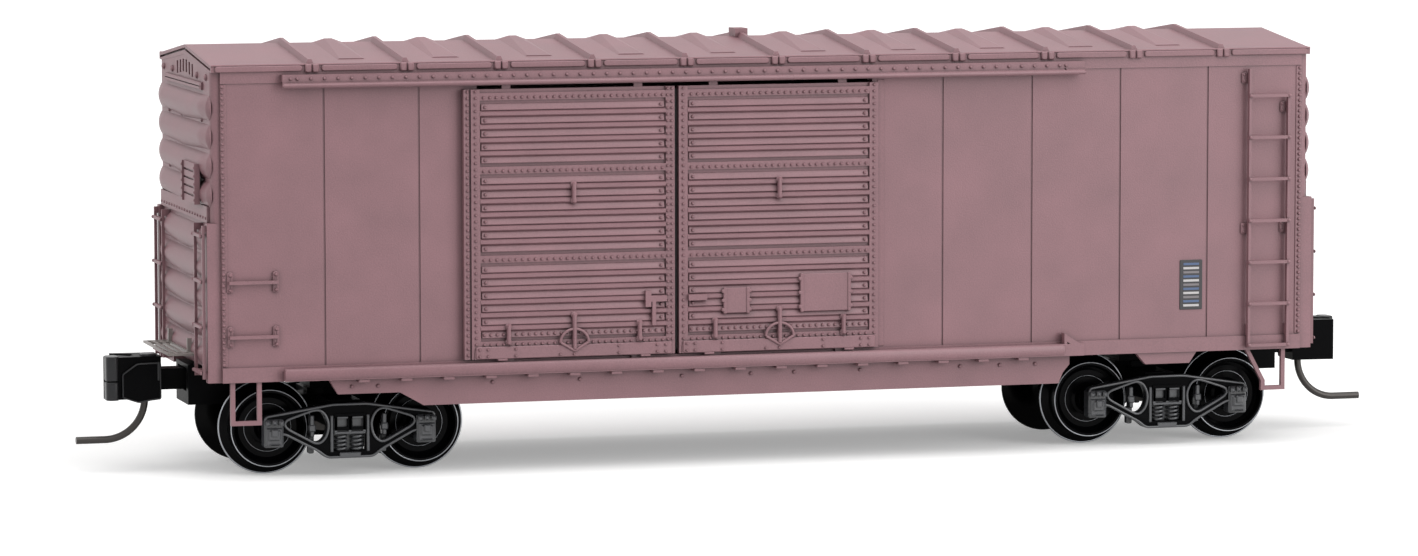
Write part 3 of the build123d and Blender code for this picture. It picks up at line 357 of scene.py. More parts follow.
def grain_group() -> bpy.types.ShaderNodeTree:
    """The node group of fine grain: mottled colour, uneven gloss and a height for bump.

    Returns:
        The group, with inputs Vector, Colour, Scale, Tint, Gloss and Spread.
    """
    tree = bpy.data.node_groups.new("fine_grain", "ShaderNodeTree")
    for label, kind in (("Vector", "Vector"), ("Colour", "Color"), ("Scale", "Float"), ("Tint", "Float"),
                        ("Gloss", "Float"), ("Spread", "Float")):
        tree.interface.new_socket(label, in_out="INPUT", socket_type=f"NodeSocket{kind}")
    for label, kind in (("Colour", "Color"), ("Roughness", "Float"), ("Height", "Float")):
        tree.interface.new_socket(label, in_out="OUTPUT", socket_type=f"NodeSocket{kind}")
    nodes, links = tree.nodes, tree.links
    entry, leave = nodes.new("NodeGroupInput"), nodes.new("NodeGroupOutput")
    fine, cloud = nodes.new("ShaderNodeTexNoise"), nodes.new("ShaderNodeTexNoise")
    fine.inputs["Detail"].default_value, cloud.inputs["Detail"].default_value = 4.0, 3.0
    broad = math_node(tree, "MULTIPLY", entry.outputs["Scale"], CLOUD_SHARE)
    links.new(entry.outputs["Vector"], fine.inputs["Vector"])
    links.new(entry.outputs["Scale"], fine.inputs["Scale"])
    links.new(entry.outputs["Vector"], cloud.inputs["Vector"])
    links.new(broad, cloud.inputs["Scale"])
    mottle = math_node(tree, "ADD", fine.outputs["Fac"], cloud.outputs["Fac"])
    centred = math_node(tree, "SUBTRACT", mottle, 1.0)
    shade = math_node(tree, "MULTIPLY", centred, entry.outputs["Tint"])
    factor = math_node(tree, "ADD", shade, 1.0)
    tint = nodes.new("ShaderNodeVectorMath")
    tint.operation = "SCALE"
    links.new(entry.outputs["Colour"], tint.inputs[0])
    links.new(factor, tint.inputs["Scale"])
    uneven = math_node(tree, "MULTIPLY", centred, entry.outputs["Spread"])
    gloss = math_node(tree, "ADD", uneven, entry.outputs["Gloss"])
    links.new(tint.outputs["Vector"], leave.inputs["Colour"])
    links.new(gloss, leave.inputs["Roughness"])
    links.new(fine.outputs["Fac"], leave.inputs["Height"])
    return tree


def painted_shade_group() -> bpy.types.ShaderNodeTree:
    """The node group of painted shade in grooves: a colour gives way to a darker tone where near surfaces
    close it in, by ambient occlusion.

    Returns:
        The group, with inputs Colour, the painted shade's darker tone, Amount and Reach.
    """
    tree = bpy.data.node_groups.new("groove_painted_shade", "ShaderNodeTree")
    for label, kind in (("Colour", "Color"), ("Shade_tone", "Color"), ("Amount", "Float"), ("Reach", "Float")):
        tree.interface.new_socket(label, in_out="INPUT", socket_type=f"NodeSocket{kind}")
    tree.interface.new_socket("Colour", in_out="OUTPUT", socket_type="NodeSocketColor")
    kinds = ("NodeGroupInput", "NodeGroupOutput", "ShaderNodeAmbientOcclusion", "ShaderNodeMix")
    entry, leave, near, mix = (tree.nodes.new(kind) for kind in kinds)
    near.samples, near.only_local = 6, False
    mix.data_type = "RGBA"
    tree.links.new(entry.outputs["Reach"], near.inputs["Distance"])
    # Painted shade: the colour darkens as far as near surfaces hide it from the surround.
    hidden = math_node(tree, "SUBTRACT", 1.0, near.outputs["AO"])
    tree.links.new(math_node(tree, "MULTIPLY", hidden, entry.outputs["Amount"]), mix.inputs["Factor"])
    tree.links.new(entry.outputs["Colour"], mix.inputs["A"])
    tree.links.new(entry.outputs["Shade_tone"], mix.inputs["B"])
    tree.links.new(mix.outputs["Result"], leave.inputs["Colour"])
    return tree


def math_node(tree: bpy.types.NodeTree, operation: str, a: object, b: object) -> bpy.types.NodeSocket:
    """One Math node between two sockets or numbers.

    Args:
        tree: Where the node goes.
        operation: What it does.
        a: Its first socket or number.
        b: Its second.

    Returns:
        The node's result.
    """
    node = tree.nodes.new("ShaderNodeMath")
    node.operation = operation
    for value, entry in ((a, node.inputs[0]), (b, node.inputs[1])):
        if isinstance(value, bpy.types.NodeSocket):
            tree.links.new(value, entry)
        else:
            entry.default_value = value
    return node.outputs[0]


@dataclass(frozen=True)
class Finish:
    """A painted, moulded or metal surface: its colour, gloss and grain, and painted shade in its grooves
    where asked for.
    """

    name: str
    slot: str
    colour: Triple
    roughness: float
    metallic: float = 0.0
    specular: float = 0.5
    grain: float = 0.22
    depth: float = 0.006
    tint: float = 0.1
    spread: float = 0.1
    # How strongly grooves and the rings round rivets are darkened as painted shade, and how far it reaches.
    groove_shade: float = 0.0
    groove_shade_reach: float = 0.45
    stretch: Triple = (1.0, 1.0, 1.0)

    def material(self) -> bpy.types.Material:
        """The finish as a material, made on first use.

        Returns:
            The material.
        """
        made = bpy.data.materials.get(self.name)
        return made or self._build()

    def _build(self) -> bpy.types.Material:
        """A new material: grain on Object coordinates, painted shade in grooves if asked for, and bump."""
        material = bpy.data.materials.new(self.name)
        material.use_nodes = True
        tree = material.node_tree
        shader = tree.nodes["Principled BSDF"]
        where, mapping, group, bump = (tree.nodes.new(f"ShaderNode{kind}")
                                       for kind in ("TexCoord", "Mapping", "Group", "Bump"))
        group.node_tree = bpy.data.node_groups.get("fine_grain") or grain_group()
        mapping.inputs["Scale"].default_value = self.stretch
        values = {"Colour": (*self.colour, 1.0), "Scale": 1.0 / (self.grain * MM), "Tint": self.tint,
                  "Gloss": self.roughness, "Spread": self.spread}
        for label, value in values.items():
            group.inputs[label].default_value = value
        tree.links.new(where.outputs["Object"], mapping.inputs["Vector"])
        tree.links.new(mapping.outputs["Vector"], group.inputs["Vector"])
        tree.links.new(self._shaded(tree, group.outputs["Colour"]), shader.inputs["Base Color"])
        tree.links.new(group.outputs["Roughness"], shader.inputs["Roughness"])
        tree.links.new(group.outputs["Height"], bump.inputs["Height"])
        bump.inputs["Strength"].default_value = BUMP_STRENGTH
        bump.inputs["Distance"].default_value = self.depth * MM
        tree.links.new(bump.outputs["Normal"], shader.inputs["Normal"])
        shader.inputs["Metallic"].default_value = self.metallic
        shader.inputs["Specular IOR Level"].default_value = self.specular
        return material

    def _shaded(self, tree: bpy.types.NodeTree, colour: bpy.types.NodeSocket) -> bpy.types.NodeSocket:
        """The colour darkened in grooves and round rivets as painted shade, or as it is where the finish has
        none.
        """
        if not self.groove_shade:
            return colour
        group = tree.nodes.new("ShaderNodeGroup")
        group.node_tree = bpy.data.node_groups.get("groove_painted_shade") or painted_shade_group()
        shade_tone = tuple(channel * SHADE_SHARE for channel in self.colour)
        values = {"Shade_tone": (*shade_tone, 1.0), "Amount": self.groove_shade, "Reach": self.groove_shade_reach * MM}
        for label, value in values.items():
            group.inputs[label].default_value = value
        tree.links.new(colour, group.inputs["Colour"])
        return group.outputs["Colour"]


# The body paint's colour, darkened in grooves and round rivets as painted shade.
PAINT = Finish("mineral_paint", "body_paint", (0.26, 0.133, 0.15), 0.48, specular=0.65, grain=0.1,
               depth=0.02, tint=0.4, groove_shade=0.85)
PLASTIC = Finish("moulded_black", "black_plastic", (0.005, 0.005, 0.0055), 0.35, specular=0.02, grain=0.2,
                 depth=0.005, tint=0.2)
# A paler grey copy of the black plastic: painted highlight and sheen for the trucks' flanges, journal boxes
# and springs, with painted shade in their grooves.
BLACK_HIGHLIGHT = Finish("moulded_black_painted_highlight", "black_plastic", (0.06, 0.062, 0.068), 0.3, specular=0.7, groove_shade=0.95,
             grain=0.2, depth=0.005, tint=0.2)
# A slightly paler copy of the black plastic: painted sheen and highlight for the couplers' knuckles and
# plate edges, with painted shade in their grooves.
BLACK_SOFT_HIGHLIGHT = Finish("moulded_black_painted_soft_highlight", "black_plastic", (0.018, 0.018, 0.02), 0.32, specular=0.3, groove_shade=0.95,
               grain=0.2, depth=0.005, tint=0.2)
WHEEL = Finish("wheel_gloss_black", "wheel_black", (0.0015, 0.0015, 0.002), 0.18, specular=0.05, grain=0.3,
               depth=0.001)
# Thin bright metal rings that paint the glints on the wheels' gloss.
WHEEL_GLINT = Finish("wheel_painted_glint", "wheel_black", (0.3, 0.31, 0.33), 0.3, metallic=1.0, grain=0.12,
             depth=0.001, stretch=(1.0, 6.0, 1.0))
BALLAST = Finish("ballast_plate", "ballast_steel", (0.42, 0.43, 0.44), 0.42, metallic=1.0, grain=0.1,
                 depth=0.01, stretch=(0.08, 1.0, 1.0))
BLUED = Finish("blackened_wire", "pin_steel", (0.05, 0.045, 0.042), 0.34, metallic=0.6, grain=0.08,
               depth=0.004)
DECK = Finish("etched_deck", "platform_grey", (0.3, 0.27, 0.255), 0.42, metallic=0.25, grain=0.12,
              depth=0.006)
# Near black: the striped plate's own colour, and painted shade on the strip behind the doors' gap.
PLATE_DARK_AND_SHADE = Finish("plate_dark_and_painted_shade", "body_paint", (0.035, 0.033, 0.036), 0.5, grain=0.16, depth=0.004)
PLATE_WHITE = Finish("plate_white", "body_paint", (0.6, 0.58, 0.58), 0.5, grain=0.16, depth=0.004)
PLATE_BLUE = Finish("plate_blue", "body_paint", (0.09, 0.14, 0.26), 0.5, grain=0.16, depth=0.004)
PLATE_GREY = Finish("plate_grey", "body_paint", (0.22, 0.2, 0.21), 0.5, grain=0.16, depth=0.004)
FINISH_OF_SLOT = {finish.slot: finish for finish in (PAINT, PLASTIC, WHEEL, BALLAST, BLUED, DECK)}


def make_piece(name: str, shape: Shape, body: str, finish: Finish, sharp: float = 38.0) -> bpy.types.Object:
    """A finished piece: its mesh in metres, its material, and the body it rides on.

    Args:
        name: Of the piece.
        shape: In millimetres.
        body: It moves with this.
        finish: Its look.
        sharp: Edges that turn by more than this angle stay crisp.

    Returns:
        The piece's object.
    """
    mesh = bpy.data.meshes.new(name)
    faces = [face for array in shape.faces for face in array.tolist()]
    mesh.from_pydata((shape.points * MM).tolist(), [], faces)
    mesh.shade_smooth()
    mesh.set_sharp_from_angle(angle=math.radians(sharp))
    mesh.materials.append(finish.material())
    piece = bpy.data.objects.new(name, mesh)
    bpy.context.scene.collection.objects.link(piece)
    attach(piece, body)
    LOG.info("%s rides on %s: %d faces", name, body, len(mesh.polygons))
    return piece


def make_both_sides(name: str, shape: Shape, body: str, finish: Finish) -> None:
    """A piece at the front and its half-turned twin at the rear, on the same kind of body."""
    for side, made in (("front", shape), ("rear", shape.half_turn())):
        make_piece(f"{name}_{side}", made, body.format(side=side), finish)


def make_both_ends(name: str, shape: Shape, body: str, finish: Finish,
                   replaces: tuple[str, ...] = ()) -> None:
    """A piece at the left and its half-turned twin at the right, in place of the named solids of its end."""
    for side, made in (("left", shape), ("right", shape.half_turn())):
        piece = make_piece(f"{name}_{side}", made, body.format(side=side), finish)
        if replaces:
            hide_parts(*(f"{node}_{side}" for node in replaces))


@dataclass(frozen=True)
class Boss:
    """Raised pads of one kind: middles across and up, size, base and top, chamfer and corner radius."""

    places: Corners
    size: Pair
    levels: Pair
    edge: Pair

    def shape(self, facing: Facing) -> Shape:
        """The pads, standing on a face of the car."""
        return pads(np.array(self.places), *self.size, *self.levels, facing, *self.edge)


@dataclass(frozen=True)
class RoofTrim:
    """The eaves: fascia strips between the seam caps, two clips at each cap's foot and a thin bead."""

    bay: float = 6.4867
    caps: int = 11
    eave: float = 9.1
    middle: float = 27.7
    half_length: float = 39.1
    sunk: float = 0.1
    strip_height: float = 0.4
    strip_proud: float = 0.13
    strip_gap: float = 1.3
    strip_edge: Pair = (0.05, 0.16)
    clip_width: float = 0.44
    clip_height: float = 0.58
    clip_proud: float = 0.2
    clip_spacing: float = 0.5
    clip_shift: float = 0.13
    clip_edge: Pair = (0.07, 0.1)
    bead_height: float = 27.95
    bead_radius: float = 0.07

    def build(self) -> None:
        """Makes the strips, clips and beads of both sides."""
        caps = (np.arange(self.caps) - (self.caps - 1) / 2) * self.bay + self.clip_shift
        end = self.half_length + self.strip_gap / 3
        spans = np.concatenate(((-end,), caps, (end,)))
        base, face = self.eave - self.sunk, self.eave + self.strip_proud
        strips = [pads((((a + b) / 2, self.middle),), b - a - self.strip_gap, self.strip_height, base, face,
                       Facing.FRONT, *self.strip_edge) for a, b in zip(spans, spans[1:])]
        places = np.concatenate((caps - self.clip_spacing / 2, caps + self.clip_spacing / 2))
        clips = pads(crossed(places, (self.middle,)), self.clip_width, self.clip_height, base,
                     self.eave + self.clip_proud, Facing.FRONT, *self.clip_edge)
        ends = (-self.half_length, 0.0, self.half_length)
        bead = tube(np.array([(x, -self.eave, self.bead_height) for x in ends]), self.bead_radius, sides=10)
        make_both_sides("eave_strips", joined(strips), "car_body", PAINT)
        make_both_sides("eave_clips", clips, "car_body", PAINT)
        make_both_sides("eave_bead", bead, "car_body", PAINT)


@dataclass(frozen=True)
class SideTrim:
    """The side sheet's edge strips and rivets, the tracks' rivets, tabs and edges, and the striped plate.

    The lip and the nose are the edges of the upper and the lower track: left end, right end and height. A
    taper says how far an edge runs past its end, where it starts to draw in, and to what share of its
    size.
    """

    face: float = 9.0
    sunk: float = 0.02
    sheet_bottom: float = 7.85
    sheet_top: float = 26.7
    strip_place: float = 38.3
    strip_width: float = 0.38
    strip_proud: float = 0.06
    strip_edge: Pair = (0.03, 0.06)
    column_place: float = 38.38
    column_inset: float = 0.15
    column_pitch: float = 0.375
    column_head: Pair = (0.13, 0.12)
    post_place: float = 7.5
    post_width: float = 0.5
    post_proud: float = 0.045
    post_drop: float = 0.2
    post_margin: float = 0.5
    post_edge: Pair = (0.02, 0.06)
    track_left: float = -33.4
    track_right: float = 20.3
    track_face: float = 9.62
    track_row: float = 27.03
    track_pitch: float = 0.92
    track_pair: float = 0.46
    track_head: Pair = (0.12, 0.14)
    edge_back: float = 9.72
    lip: Triple = (-34.4, 22.15, 26.56)
    lip_radius: float = 0.17
    lip_taper: Triple = (0.02, 0.1, 0.6)
    nose: Triple = (-34.3, 20.62, 7.27)
    nose_height: float = 0.8
    nose_proud: float = 0.16
    nose_taper: Triple = (0.1, 0.0, 0.7)
    skirt_corner: Corners = ((21.35, 6.8), (20.86, 5.62), (21.35, 6.19))
    skirt_round: float = 0.03
    skirt_thickness: float = 0.5
    skirt_row: float = 6.3
    skirt_bolts: Places = (-29.7, -27.9, -20.0, -13.9, -6.7, -1.8, 1.3, 6.05, 13.3, 16.2, 18.8)
    skirt_head: Pair = (0.14, 0.14)
    tab_first: float = -29.0
    tab_last: float = 17.72
    tab_pitch: float = 2.92
    tab_row: float = 6.74
    tab_size: Pair = (0.76, 0.24)
    tab_face: float = 9.72
    tab_edge: Pair = (0.04, 0.05)
    plate: tuple[float, float, float, float] = (29.5, 9.76, 1.67, 3.48)
    bars: int = 11
    bar_margin: float = 0.5
    bar_share: float = 0.55
    bar_levels: Pair = (0.03, 0.08)
    bar_edge: Pair = (0.01, 0.02)

    def build(self) -> None:
        """Makes the trim of both sides."""
        middle, height = (self.sheet_bottom + self.sheet_top) / 2, self.sheet_top - self.sheet_bottom
        base, proud = self.face - self.sunk, self.face + self.strip_proud
        strips = pads(crossed((-self.strip_place, self.strip_place), (middle,)), self.strip_width, height,
                      base, proud, Facing.FRONT, *self.strip_edge)
        post = pads(((self.post_place, middle - self.post_drop),), self.post_width,
                    height - self.post_margin, base, self.face + self.post_proud, Facing.FRONT,
                    *self.post_edge)
        make_both_sides("side_strips", joined([strips, post]), "car_body", PAINT)
        make_both_sides("side_rivets", joined(self._rivets()), "car_body", PAINT)
        places = row((self.tab_first, self.tab_row), (self.tab_last, self.tab_row), self.tab_pitch)
        tabs = pads(places, *self.tab_size, self.face, self.tab_face, Facing.FRONT, *self.tab_edge)
        make_both_sides("track_tabs", tabs, "car_body", PAINT)
        make_both_sides("track_edges", joined(self._track_edges()), "car_body", PAINT)
        self._striped_plate()

    def _rivets(self) -> list[Shape]:
        """The columns at the sheet's ends, the upper track's row and the skirt's bolts."""
        low, high = self.sheet_bottom + self.column_inset, self.sheet_top - self.column_inset
        columns = [row((x, low), (x, high), self.column_pitch)
                   for x in (-self.column_place, self.column_place)]
        track = row((self.track_left, self.track_row), (self.track_right, self.track_row), self.track_pitch)
        ends = crossed((self.track_left - self.track_pair, self.track_right + self.track_pair),
                       (self.track_row,))
        bolts = crossed(self.skirt_bolts, (self.skirt_row,))
        return [
            rivets(np.concatenate(columns), self.face + self.strip_proud, Facing.FRONT, *self.column_head),
            rivets(np.concatenate((track, ends)), self.track_face, Facing.FRONT, *self.track_head),
            rivets(bolts, self.face, Facing.FRONT, *self.skirt_head),
        ]

    def _track_edges(self) -> list[Shape]:
        """The upper track's round lip, the lower track's bull nose and the square corner of the skirt.

        The nose is a half ellipse carried along the track, which draws in at both ends.

        Returns:
            The three closed shapes.
        """
        (left, right, z), (beyond, before, share) = self.lip, self.lip_taper
        path = [(x, -self.edge_back, z)
                for x in (left - beyond, left + before, right - before, right + beyond)]
        lip = tube(np.array(path), self.lip_radius * np.array((share, 1.0, 1.0, share)), sides=14)
        (left, right, z), (beyond, before, share) = self.nose, self.nose_taper
        turn = np.linspace(-np.pi / 2, np.pi / 2, 15)
        across = np.array((left - beyond, left + before, right - before, right + beyond))[:, None] + 0 * turn
        shrink = np.array((share, 1.0, 1.0, share))[:, None]
        up = z - self.nose_height / 2 * np.sin(turn) * shrink
        nose = np.stack((across, up, self.edge_back + self.nose_proud * np.cos(turn) * shrink), axis=-1)
        outline = rounded_corners(np.array(self.skirt_corner), self.skirt_round)
        levels = (self.face - self.skirt_thickness, self.face)
        corner = np.stack([np.column_stack((outline, np.full(len(outline), level))) for level in levels])
        return [lip, closed_rings(nose).mapped(Facing.FRONT), closed_rings(corner).mapped(Facing.FRONT)]

    def _striped_plate(self) -> None:
        """A dark plate with level bars of three plain colours in turn."""
        left, low, width, height = self.plate
        middle = left + width / 2
        board = pads(((middle, low + height / 2),), width, height, self.face - self.sunk,
                     self.face + self.strip_proud, Facing.FRONT, *self.strip_edge)
        make_both_sides("striped_plate", board, "car_body", PLATE_DARK_AND_SHADE)
        step = height / (self.bars + 1)
        base, top = (self.face + level for level in self.bar_levels)
        for turn, finish in enumerate((PLATE_WHITE, PLATE_BLUE, PLATE_GREY)):
            places = crossed((middle,), low + np.arange(turn + 1, self.bars + 1, 3) * step)
            bars = pads(places, width - self.bar_margin, step * self.bar_share, base, top, Facing.FRONT,
                        *self.bar_edge)
            make_both_sides(f"striped_plate_{finish.name}", bars, "car_body", finish)


@dataclass(frozen=True)
class DoorTrim:
    """A door's rivets, flats, lever bow, rounded handles, placard boards and roller nubs.

    Places across are from the door's left edge, and those of the uprights from its middle. An upright has
    its place across, the height of its middle and its length. A placard has its left, bottom, width and
    height in the car's frame.
    """

    name: str
    left: float
    width: float = 14.2
    gap: float = 0.3
    back: float = 9.06
    bottom: float = 7.9
    top: float = 26.1
    stile: float = 0.62
    plate_face: float = 9.42
    stile_face: float = 9.59
    strip_face: float = 9.58
    rib_face: float = 9.62
    proud: float = 9.82
    pitch: float = 0.44
    stile_columns: Places = (0.3, 13.9)
    stile_low: float = 1.0
    stile_high: float = 0.15
    stile_head: Pair = (0.105, 0.13)
    edge_bar: bool = False
    edge_bar_place: float = -0.25
    edge_bar_low: float = 0.3
    edge_bar_head: Pair = (0.115, 0.14)
    strips: Places = (25.6, 20.64, 14.65, 8.93)
    strip_drop: float = 0.06
    strip_inset: float = 0.25
    strip_head: Pair = (0.11, 0.14)
    panels: tuple[tuple[float, float, int], ...] = ((25.35, 20.89, 5), (20.39, 14.9, 6), (14.4, 9.1, 6))
    flat_face: float = 9.55
    flat_height: float = 0.46
    flat_lean: float = 0.1
    flat_margin: float = 0.16
    flat_sunk: float = 0.1
    flat_edge: Pair = (0.05, 0.06)
    flat_spot: float = 0.1
    flat_head: Pair = (0.115, 0.15)
    rail_face: float = 9.74
    rail_middle: float = 8.33
    rail_height: float = 0.84
    rail_margin: float = 0.5
    rail_edge: Pair = (0.05, 0.12)
    rail_places: Places = (0.5, 1.07, 3.0, 10.2, 12.9, 13.5)
    rail_low_places: Places = (6.1, 7.06)
    rail_rows: Pair = (8.1, 8.56)
    rail_head: Pair = (0.1, 0.13)
    bow_half: float = 0.98
    bow_rise: float = 0.9
    bow_drop: float = 0.58
    bow_wire: float = 0.1
    bow_pivot: float = 1.0
    wire_sunk: float = 0.06
    uprights: tuple[Triple, ...] = ((0.0, 19.05, 1.35), (0.0, 9.62, 2.5), (-4.58, 9.55, 1.3),
                                    (4.58, 9.55, 1.3))
    upright_shares: Places = (-0.5, -0.46, 0.0, 0.46, 0.5)
    upright_lift: Places = (0.06, 0.0, -0.02, 0.0, 0.06)
    upright_radii: Places = (0.08, 0.15, 0.15, 0.15, 0.08)
    foot_size: Pair = (0.44, 0.4)
    foot_inset: float = 0.12
    foot_drop: float = 0.05
    foot_edge: Pair = (0.08, 0.16)
    nub_inset: float = 2.1
    nub_drop: float = 0.04
    nub_sunk: float = 0.2
    nub_size: Pair = (0.7, 0.2)
    nub_edge: Pair = (0.05, 0.05)
    meeting_lap: float = 0.4
    meeting_levels: Pair = (-0.12, -0.01)
    meeting_edge: Pair = (0.03, 0.06)
    placards: tuple[tuple[float, float, float, float], ...] = ()
    placard_proud: float = 0.13
    placard_grow: float = 0.06
    placard_edge: Pair = (0.04, 0.05)
    batten_width: float = 0.24
    batten_inset: float = 0.1
    batten_proud: float = 0.19
    clip_size: Pair = (0.34, 0.26)
    clip_inset: float = 0.02
    clip_shares: Places = (0.12, 0.5, 0.88)
    clip_levels: Pair = (-0.1, 0.2)
    clip_edge: Pair = (0.05, 0.1)

    def build(self) -> None:
        """Makes the trim of this door at the front and of its twin at the rear."""
        body = f"{self.name}_{{side}}"
        make_both_sides(f"{self.name}_rivets", joined(self._rivets()), body, PAINT)
        make_both_sides(f"{self.name}_flats", joined(self._flats()), body, PAINT)
        make_both_sides(f"{self.name}_fittings", joined(self._fittings()), body, PAINT)
        if self.edge_bar:
            # The dark strip behind the gap is painted shade.
            make_both_sides(f"{self.name}_meeting_strip", self._meeting_strip(), body, PLATE_DARK_AND_SHADE)
        if self.placards:
            make_both_sides(f"{self.name}_placards", joined(self._placards()), body, PAINT)

    def _rivets(self) -> list[Shape]:
        """The rivet rows of the stiles, strips and rail, and those of the flats."""
        low, high = self.bottom + self.stile_low, self.top - self.stile_high
        stiles = [row((self.left + x, low), (self.left + x, high), self.pitch) for x in self.stile_columns]
        heads = [rivets(np.concatenate(stiles), self.stile_face, Facing.FRONT, *self.stile_head)]
        if self.edge_bar:
            x = self.left + self.edge_bar_place
            bar = row((x, self.bottom + self.edge_bar_low), (x, high), self.pitch)
            heads.append(rivets(bar, self.stile_face, Facing.FRONT, *self.edge_bar_head))
        inset = self.stile + self.strip_inset
        start, stop = self.left + inset, self.left + self.width - inset
        rows = [row((start, z), (stop, z), self.pitch) for z in np.array(self.strips) - self.strip_drop]
        heads.append(rivets(np.concatenate(rows), self.strip_face, Facing.FRONT, *self.strip_head))
        flats = self._flat_heights()
        spots = crossed((start + self.flat_spot, stop - self.flat_spot), flats[:-1])
        full = row((start, flats[-1]), (stop, flats[-1]), self.pitch)
        heads.append(rivets(np.concatenate((spots, full)), self.flat_face, Facing.FRONT, *self.flat_head))
        rail = np.concatenate((crossed(self.rail_places, self.rail_rows),
                               crossed(self.rail_low_places, self.rail_rows[:1])))
        heads.append(rivets(rail + (self.left, 0.0), self.rail_face, Facing.FRONT, *self.rail_head))
        return heads

    def _flats(self) -> list[Shape]:
        """The flat bands between the pressed ribs, leaning out towards their feet, and the rail's plate."""
        middle = self.left + self.width / 2
        places = crossed((middle,), self._flat_heights())
        width = self.width - 2 * self.stile - self.flat_margin
        bands = pads(places, width, self.flat_height, self.plate_face - self.flat_sunk, self.flat_face,
                     Facing.FRONT, *self.flat_edge)
        grid = bands.points.reshape(len(places), -1, 3)
        grid[..., 1] -= self.flat_lean * (places[:, 1:] - grid[..., 2]) / self.flat_height
        rail = pads(((middle, self.rail_middle),), self.width - self.rail_margin, self.rail_height,
                    self.plate_face, self.rail_face, Facing.FRONT, *self.rail_edge)
        return [bands, rail]

    def _flat_heights(self) -> np.ndarray:
        """The middles of the flats: each panel holds a count of them at an even spacing."""
        return np.concatenate([high - (np.arange(count) + 0.5) * (high - low) / count
                               for high, low, count in self.panels])

    def _fittings(self) -> list[Shape]:
        """The lever's bow over its boat-shaped foot, the rounded uprights and the roller nubs.

        The bow is half an ellipse, and its foot falls from both ends to the middle by one less the size
        of the cosine of the same turn.

        Returns:
            The closed shapes.
        """
        middle, pivot = self.left + self.width / 2, self.bottom + self.bow_pivot
        depth = self.wire_sunk - self.proud
        turn = np.linspace(0.0, np.pi, 25)
        across = middle + self.bow_half * np.cos(turn)
        bow = np.column_stack((across, 0 * turn + depth, pivot + self.bow_rise * np.sin(turn)))
        fall = self.bow_drop * (1 - np.abs(np.cos(turn)))
        boat = np.column_stack((across, 0 * turn + depth, pivot - fall))
        parts = [tube(bow, self.bow_wire, sides=10), tube(boat, self.bow_wire, sides=10)]
        shares, lift = np.array(self.upright_shares), np.array(self.upright_lift)
        for place, z, length in self.uprights:
            x = middle + place
            path = np.column_stack((0 * shares + x, depth + lift, z + shares * length))
            parts.append(tube(path, np.array(self.upright_radii), sides=12))
            reach = length / 2 - self.foot_inset
            parts.append(pads(crossed((x,), (z - reach, z + reach)), *self.foot_size, self.plate_face,
                              self.proud - self.foot_drop, Facing.FRONT, *self.foot_edge))
        nubs = crossed((self.left + self.nub_inset, self.left + self.width - self.nub_inset),
                       (self.bottom - self.nub_drop,))
        parts.append(pads(nubs, *self.nub_size, self.plate_face - self.nub_sunk, self.rail_face,
                          Facing.FRONT, *self.nub_edge))
        return parts

    def _meeting_strip(self) -> Shape:
        """The strip behind the gap between the two doors, which keeps light out; its near-black colour is
        painted shade, for the dark gap.
        """
        place = (self.left + self.width + self.gap / 2, (self.bottom + self.top) / 2)
        base, top = (self.back + level for level in self.meeting_levels)
        return pads((place,), self.gap + self.meeting_lap, self.top - self.bottom - self.meeting_lap, base,
                    top, Facing.FRONT, *self.meeting_edge)

    def _placards(self) -> list[Shape]:
        """The two boards: a flat sheet between side battens, with three clips on each batten."""
        parts = []
        for left, low, width, height in self.placards:
            middle, centre, right = left + width / 2, low + height / 2, left + width
            top = self.rib_face + self.placard_proud
            parts.append(pads(((middle, centre),), width + self.placard_grow, height + self.placard_grow,
                              self.rib_face, top, Facing.FRONT, *self.placard_edge))
            battens = crossed((left + self.batten_inset, right - self.batten_inset), (centre,))
            parts.append(pads(battens, self.batten_width, height + 2 * self.placard_grow, self.rib_face,
                              self.rib_face + self.batten_proud, Facing.FRONT, *self.placard_edge))
            clips = crossed((left + self.clip_inset, right - self.clip_inset),
                            low + np.array(self.clip_shares) * height)
            base, top = (self.rib_face + level for level in self.clip_levels)
            parts.append(pads(clips, *self.clip_size, base, top, Facing.FRONT, *self.clip_edge))
        return parts


